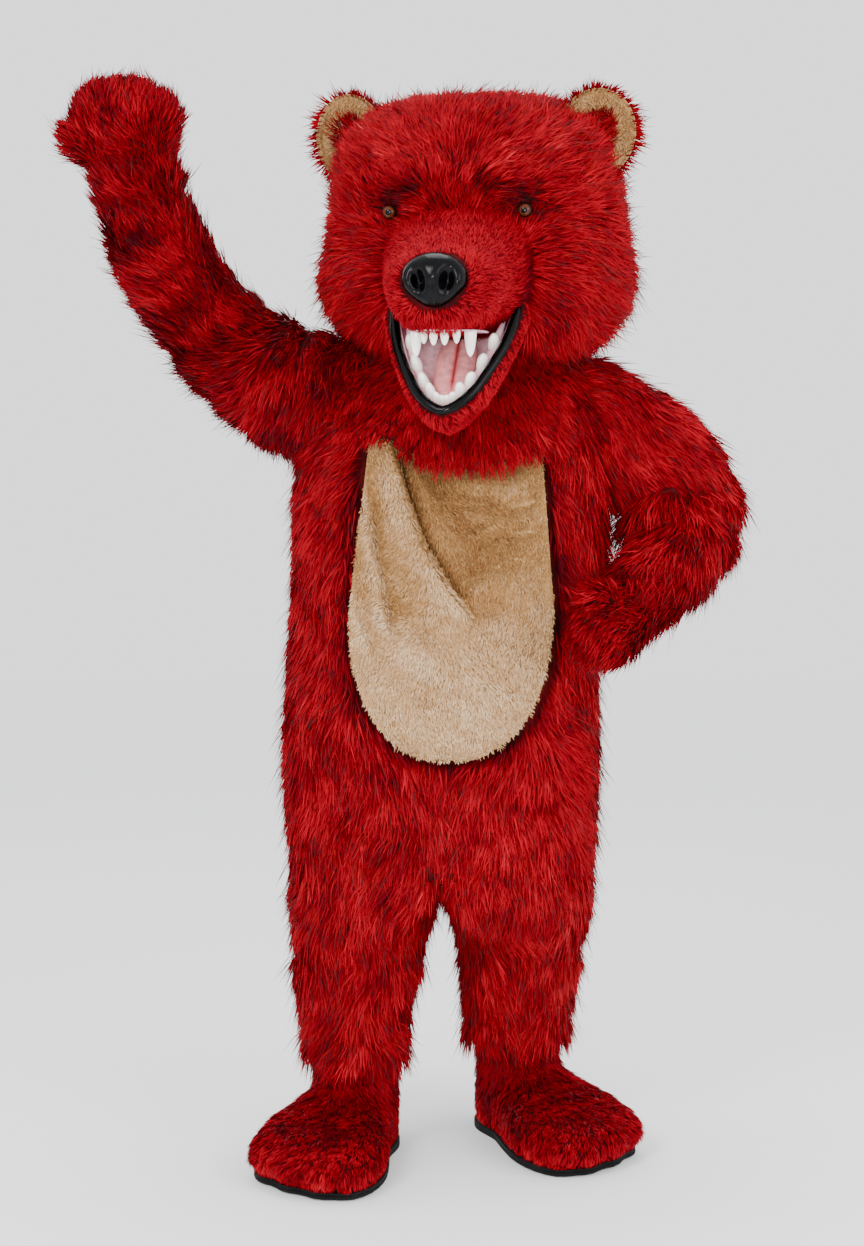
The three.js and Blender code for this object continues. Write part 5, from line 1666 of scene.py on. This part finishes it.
rubberPiece(
    "nose", "nose", noseSurface, (96, 64), blackRubber, "black_rubber", (0, 1, 0.004, 0.996),
    tip=True, flip=True,
)
for side, place in eyePlaces.items():
    # a ball whose front carries the iris, looking out of the face
    us, vs = ringShares(32, 25)
    ahead = unit(toHead(0.0, -1.0, -0.1) - toHead(0.0, 0.0, 0.0))
    across = unit(np.cross(ahead, np.array([0, 0, 1.0])))
    over = np.cross(across, ahead)
    turn, bend = 2 * math.pi * us, math.pi * vs
    ring = across * np.cos(turn)[..., None] + over * np.sin(turn)[..., None]
    ball = ahead * np.cos(bend)[..., None] + ring * np.sin(bend)[..., None]
    points = place + eyes["radius"] * ball.reshape(-1, 3)
    quads = gridFaces(*vs.shape, True)[:, ::-1]
    made = putMesh(f"eye{side.title()}", points, quads, np.zeros((0, 3), int), eyeGlass)
    keepNumber(made, "iris", np.clip(vs.ravel() / eyes["iris"], 0, 1))
    takePlace(made, f"eye_{side}", "eyes")

ear = {"x": 223, "y": -44, "rise": 172, "half": 76, "tall": 86, "deep": 46, "turn": 20, "roll": 22}
ear |= {"pile": 12, "wall": 4}
earDish = {"share": 0.92, "deep": 20, "roll": 19, "rim": 0.76, "cut": 0.6}


def earCup(side, share, deep, rolled=0.0):
    # half of an ellipsoid, open to the front. A rolled rim stands forward of it
    hand = handOf[side]
    roll, turned = math.radians(hand * ear["roll"]), math.radians(hand * ear["turn"])

    def surface(u, v):
        turn, bend = 2 * math.pi * u, math.pi / 2 * v
        x = ear["half"] * share * np.cos(turn) * np.cos(bend)
        y = deep * np.sin(bend) - rolled * bell(np.cos(bend) - earDish["rim"], 0.2)
        z = ear["tall"] * share * np.sin(turn) * np.cos(bend)
        c, s = math.cos(roll), math.sin(roll)
        x, z = x * c + z * s, z * c - x * s
        c, s = math.cos(turned), math.sin(turned)
        x, y = x * c - y * s, y * c + x * s
        return toHead(x + hand * ear["x"], y + ear["y"], z + ear["rise"])

    return surface


def backwards(surface):
    # the nap runs up the cup to its rim, and leans back
    def flow(points, normals, u, v):
        return unit(surface(u, v) - surface(u, v + 0.004)) + np.array([0, 0.55, 0])

    return flow


outsideHead = lambda p: ~insideHead(p, -24)
for side in sides:
    hand, cap = handOf[side], side.title()
    cup = earCup(side, 1, ear["deep"])
    ground = inset(cup, ear["pile"], True)
    shell, _, _ = makeShell(
        f"ear{cap}Back", ground, (48, 14), (0, 1, 0, 0.98), redCloth, ear["wall"], outsideHead,
        True, True,
    )
    fur = growFur(
        f"ear{cap}BackFur", ground, (0, 1, 0, 1), styles["mitt"], backwards(cup), redHair,
        outsideHead, seed=101 + hand, flip=True,
    )
    dish = earCup(side, earDish["share"], earDish["deep"], earDish["roll"])
    inner, _, _ = makeShell(
        f"ear{cap}Inner", dish, (64, 24), (0, 1, 0, 0.98), tanCloth, 2, outsideHead, tip=True
    )
    plush = growFur(
        f"ear{cap}Plush", dish, (0, 1, 0, earDish["rim"]), styles["ear"],
        lambda p, n, u, v: dish(u, np.minimum(v + 0.02, 1)) - dish(u, v), tanHair, outsideHead,
        shade=lambda p: 0.04 + 0 * p[:, 0], seed=105 + hand,
    )
    # red tufts fill the middle, and lie up and out over the roll's inner edge
    base = toHead(hand * (ear["x"] - 60), ear["y"], ear["rise"] - 60)
    tufts = growFur(
        f"ear{cap}Tufts", dish, (0, 1, 0.66, 0.99), styles["tuft"], lambda p, n, u, v: p - base,
        redHair, outsideHead, seed=109 + hand, shade=lambda p: -0.1 + 0 * p[:, 0],
        trim=lambda p: 0.5 + 0.5 * smooth(np.linalg.norm(p - base, axis=-1) / 90),
    )
    padPiece(shell, f"ear_{side}_back", fur, tufts)
    takePlace(inner, f"ear_{side}_inner", "tan_plush", plush)

print("making the zip")
zipRow = {"low": 556, "top": 1440, "pitch": 7, "wide": 5.5, "tall": 3, "thick": 2.2, "stagger": 1.4}


def toothBoxes():
    # a row of small blocks up the back's middle, set left and right in turn. Each stands on the
    # outer face of the tape's solid, which a line from behind finds
    heights = np.arange(zipRow["low"], zipRow["top"], zipRow["pitch"] / 2)
    quarter, share = np.full(len(heights), 0.25), shareAt(torsoRows, "height", heights)
    centre, off = torsoSurface(quarter, share), outward(torsoSurface, quarter, share, 0.01)
    above, below = np.minimum(share + 0.01, 1), share - 0.01
    up = unit(torsoSurface(quarter, above) - torsoSurface(quarter, below))
    across = np.cross(up, off)
    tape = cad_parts["zip_tape"]
    tree = BVHTree.FromPolygons(
        [tape.matrix_world @ corner.co for corner in tape.data.vertices],
        [tuple(face.vertices) for face in tape.data.polygons],
    )
    for number, place in enumerate(toFrame(centre)):
        hit = tree.ray_cast((place[0], 1.0, place[2]), (0.0, -1.0, 0.0))[0]
        if hit is not None:
            centre[number, 1] += (hit[1] - place[1]) / mm
    turn = np.where(np.arange(len(heights)) % 2 == 0, 1, -1)[:, None] * zipRow["stagger"]
    wide, tall, thick = (zipRow[name] / 2 for name in ("wide", "tall", "thick"))
    corners = [
        centre + across * (turn + x * wide) + up * (z * tall) + off * (1 + y) * thick
        for z in (-1, 1) for y in (-1, 1) for x in (-1, 1)
    ]
    box = np.array(
        [[0, 1, 3, 2], [4, 6, 7, 5], [0, 4, 5, 1], [2, 3, 7, 6], [0, 2, 6, 4], [1, 5, 7, 3]]
    )
    first = 8 * np.arange(len(heights))[:, None, None]
    return np.stack(corners, 1).reshape(-1, 3), (first + box).reshape(-1, 4)


points, quads = toothBoxes()
zipTeeth = putMesh("zipTeeth", points, quads, np.zeros((0, 3), int), zipMetal, False)
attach(zipTeeth, "root")
for piece, material in (("zip_tape", zipCloth), ("zip_slider", zipMetal)):
    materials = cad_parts[piece].data.materials
    materials.clear()
    materials.append(material)

print("placing the floor, the lights and the camera")
# in metres. The floor fades out between two distances from the costume
studio = {
    "floor": "#f2f2f3", "world": "#eceded", "worldStrength": 2.05, "floorReach": 12,
    "fadeFrom": 2.2, "fadeTo": 9.0, "aim": (0.0, 0.0, -0.3),
}
floorMesh = bpy.data.meshes.new("floor")
us, vs = ringShares(64, 9)
turn, reach = 2 * math.pi * us, studio["floorReach"] * vs
ring = stack(reach * np.cos(turn), reach * np.sin(turn), -costume["shoulders"][2] * mm)
quads = gridFaces(*vs.shape, True)[:, ::-1]
floorMesh.from_pydata(ring.reshape(-1, 3).tolist(), [], quads.tolist())
floor = addObject("floor", floorMesh)
floorPaint, floorShader = newMaterial("floorPaint", Roughness=0.7, Base_Color=tint(studio["floor"]))
floorMesh.materials.append(floorPaint)
clearShader = floorPaint.node_tree.nodes.new("ShaderNodeBsdfTransparent")
distance = addNode(
    floorPaint, "ShaderNodeVectorMath", {0: places(floorPaint)}, operation="LENGTH"
).outputs["Value"]
fade = addNode(
    floorPaint, "ShaderNodeMapRange", {"Value": distance}, From_Min=studio["fadeFrom"],
    From_Max=studio["fadeTo"],
)
blendShader = addNode(
    floorPaint, "ShaderNodeMixShader",
    {0: fade.outputs[0], 1: floorShader.outputs[0], 2: clearShader.outputs[0]},
)
surfaceSocket = floorPaint.node_tree.nodes["Material Output"].inputs[0]
floorPaint.node_tree.links.new(blendShader.outputs[0], surfaceSocket)
floor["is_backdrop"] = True

world = bpy.data.worlds.new("studio")
bpy.context.scene.world = world
world.use_nodes = True
background = world.node_tree.nodes["Background"]
background.inputs["Color"].default_value = tint(studio["world"])
background.inputs["Strength"].default_value = studio["worldStrength"]

# soft boxes: name, place, size and power, in metres and watts, aimed at the chest
lights = (
    ("keyLight", (-2.0, -3.4, 2.0), 1.4, 125), ("frontLight", (-0.2, -4.6, -0.1), 0.7, 105),
    ("fillLight", (2.8, -2.6, 1.0), 2.2, 80), ("topLight", (0.0, 0.6, 3.2), 2.0, 75),
)
for name, place, size, watts in lights:
    lamp = bpy.data.lights.new(name, "AREA")
    lamp.size = size
    lamp.energy = watts
    made = addObject(name, lamp)
    made.location = place
    x, y, z = np.array(studio["aim"]) - np.array(place)
    made.rotation_euler = (math.atan2(math.hypot(x, y), -z), 0, math.atan2(-x, y))

# the photo's own view, with its lengths in pixels of a picture as tall as the photo
view = {"place": (-0.0567, -4.6, -0.073), "focal": 2505, "drop": 203, "tall": 1246, "sensor": 36}
lens = bpy.data.cameras.new("camera")
lens.lens = view["focal"] / view["tall"] * view["sensor"]
lens.sensor_width = view["sensor"]
camera = addObject("camera", lens)
camera.location = view["place"]
camera.rotation_euler = (math.pi / 2 - math.atan(view["drop"] / view["focal"]), 0, 0)
bpy.context.scene.camera = camera

print("hairs", sum(hairCount.values()), hairCount)
size = {"cad": [list(corner) for corner in cadBox], "visual": [list(corner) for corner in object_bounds()]}
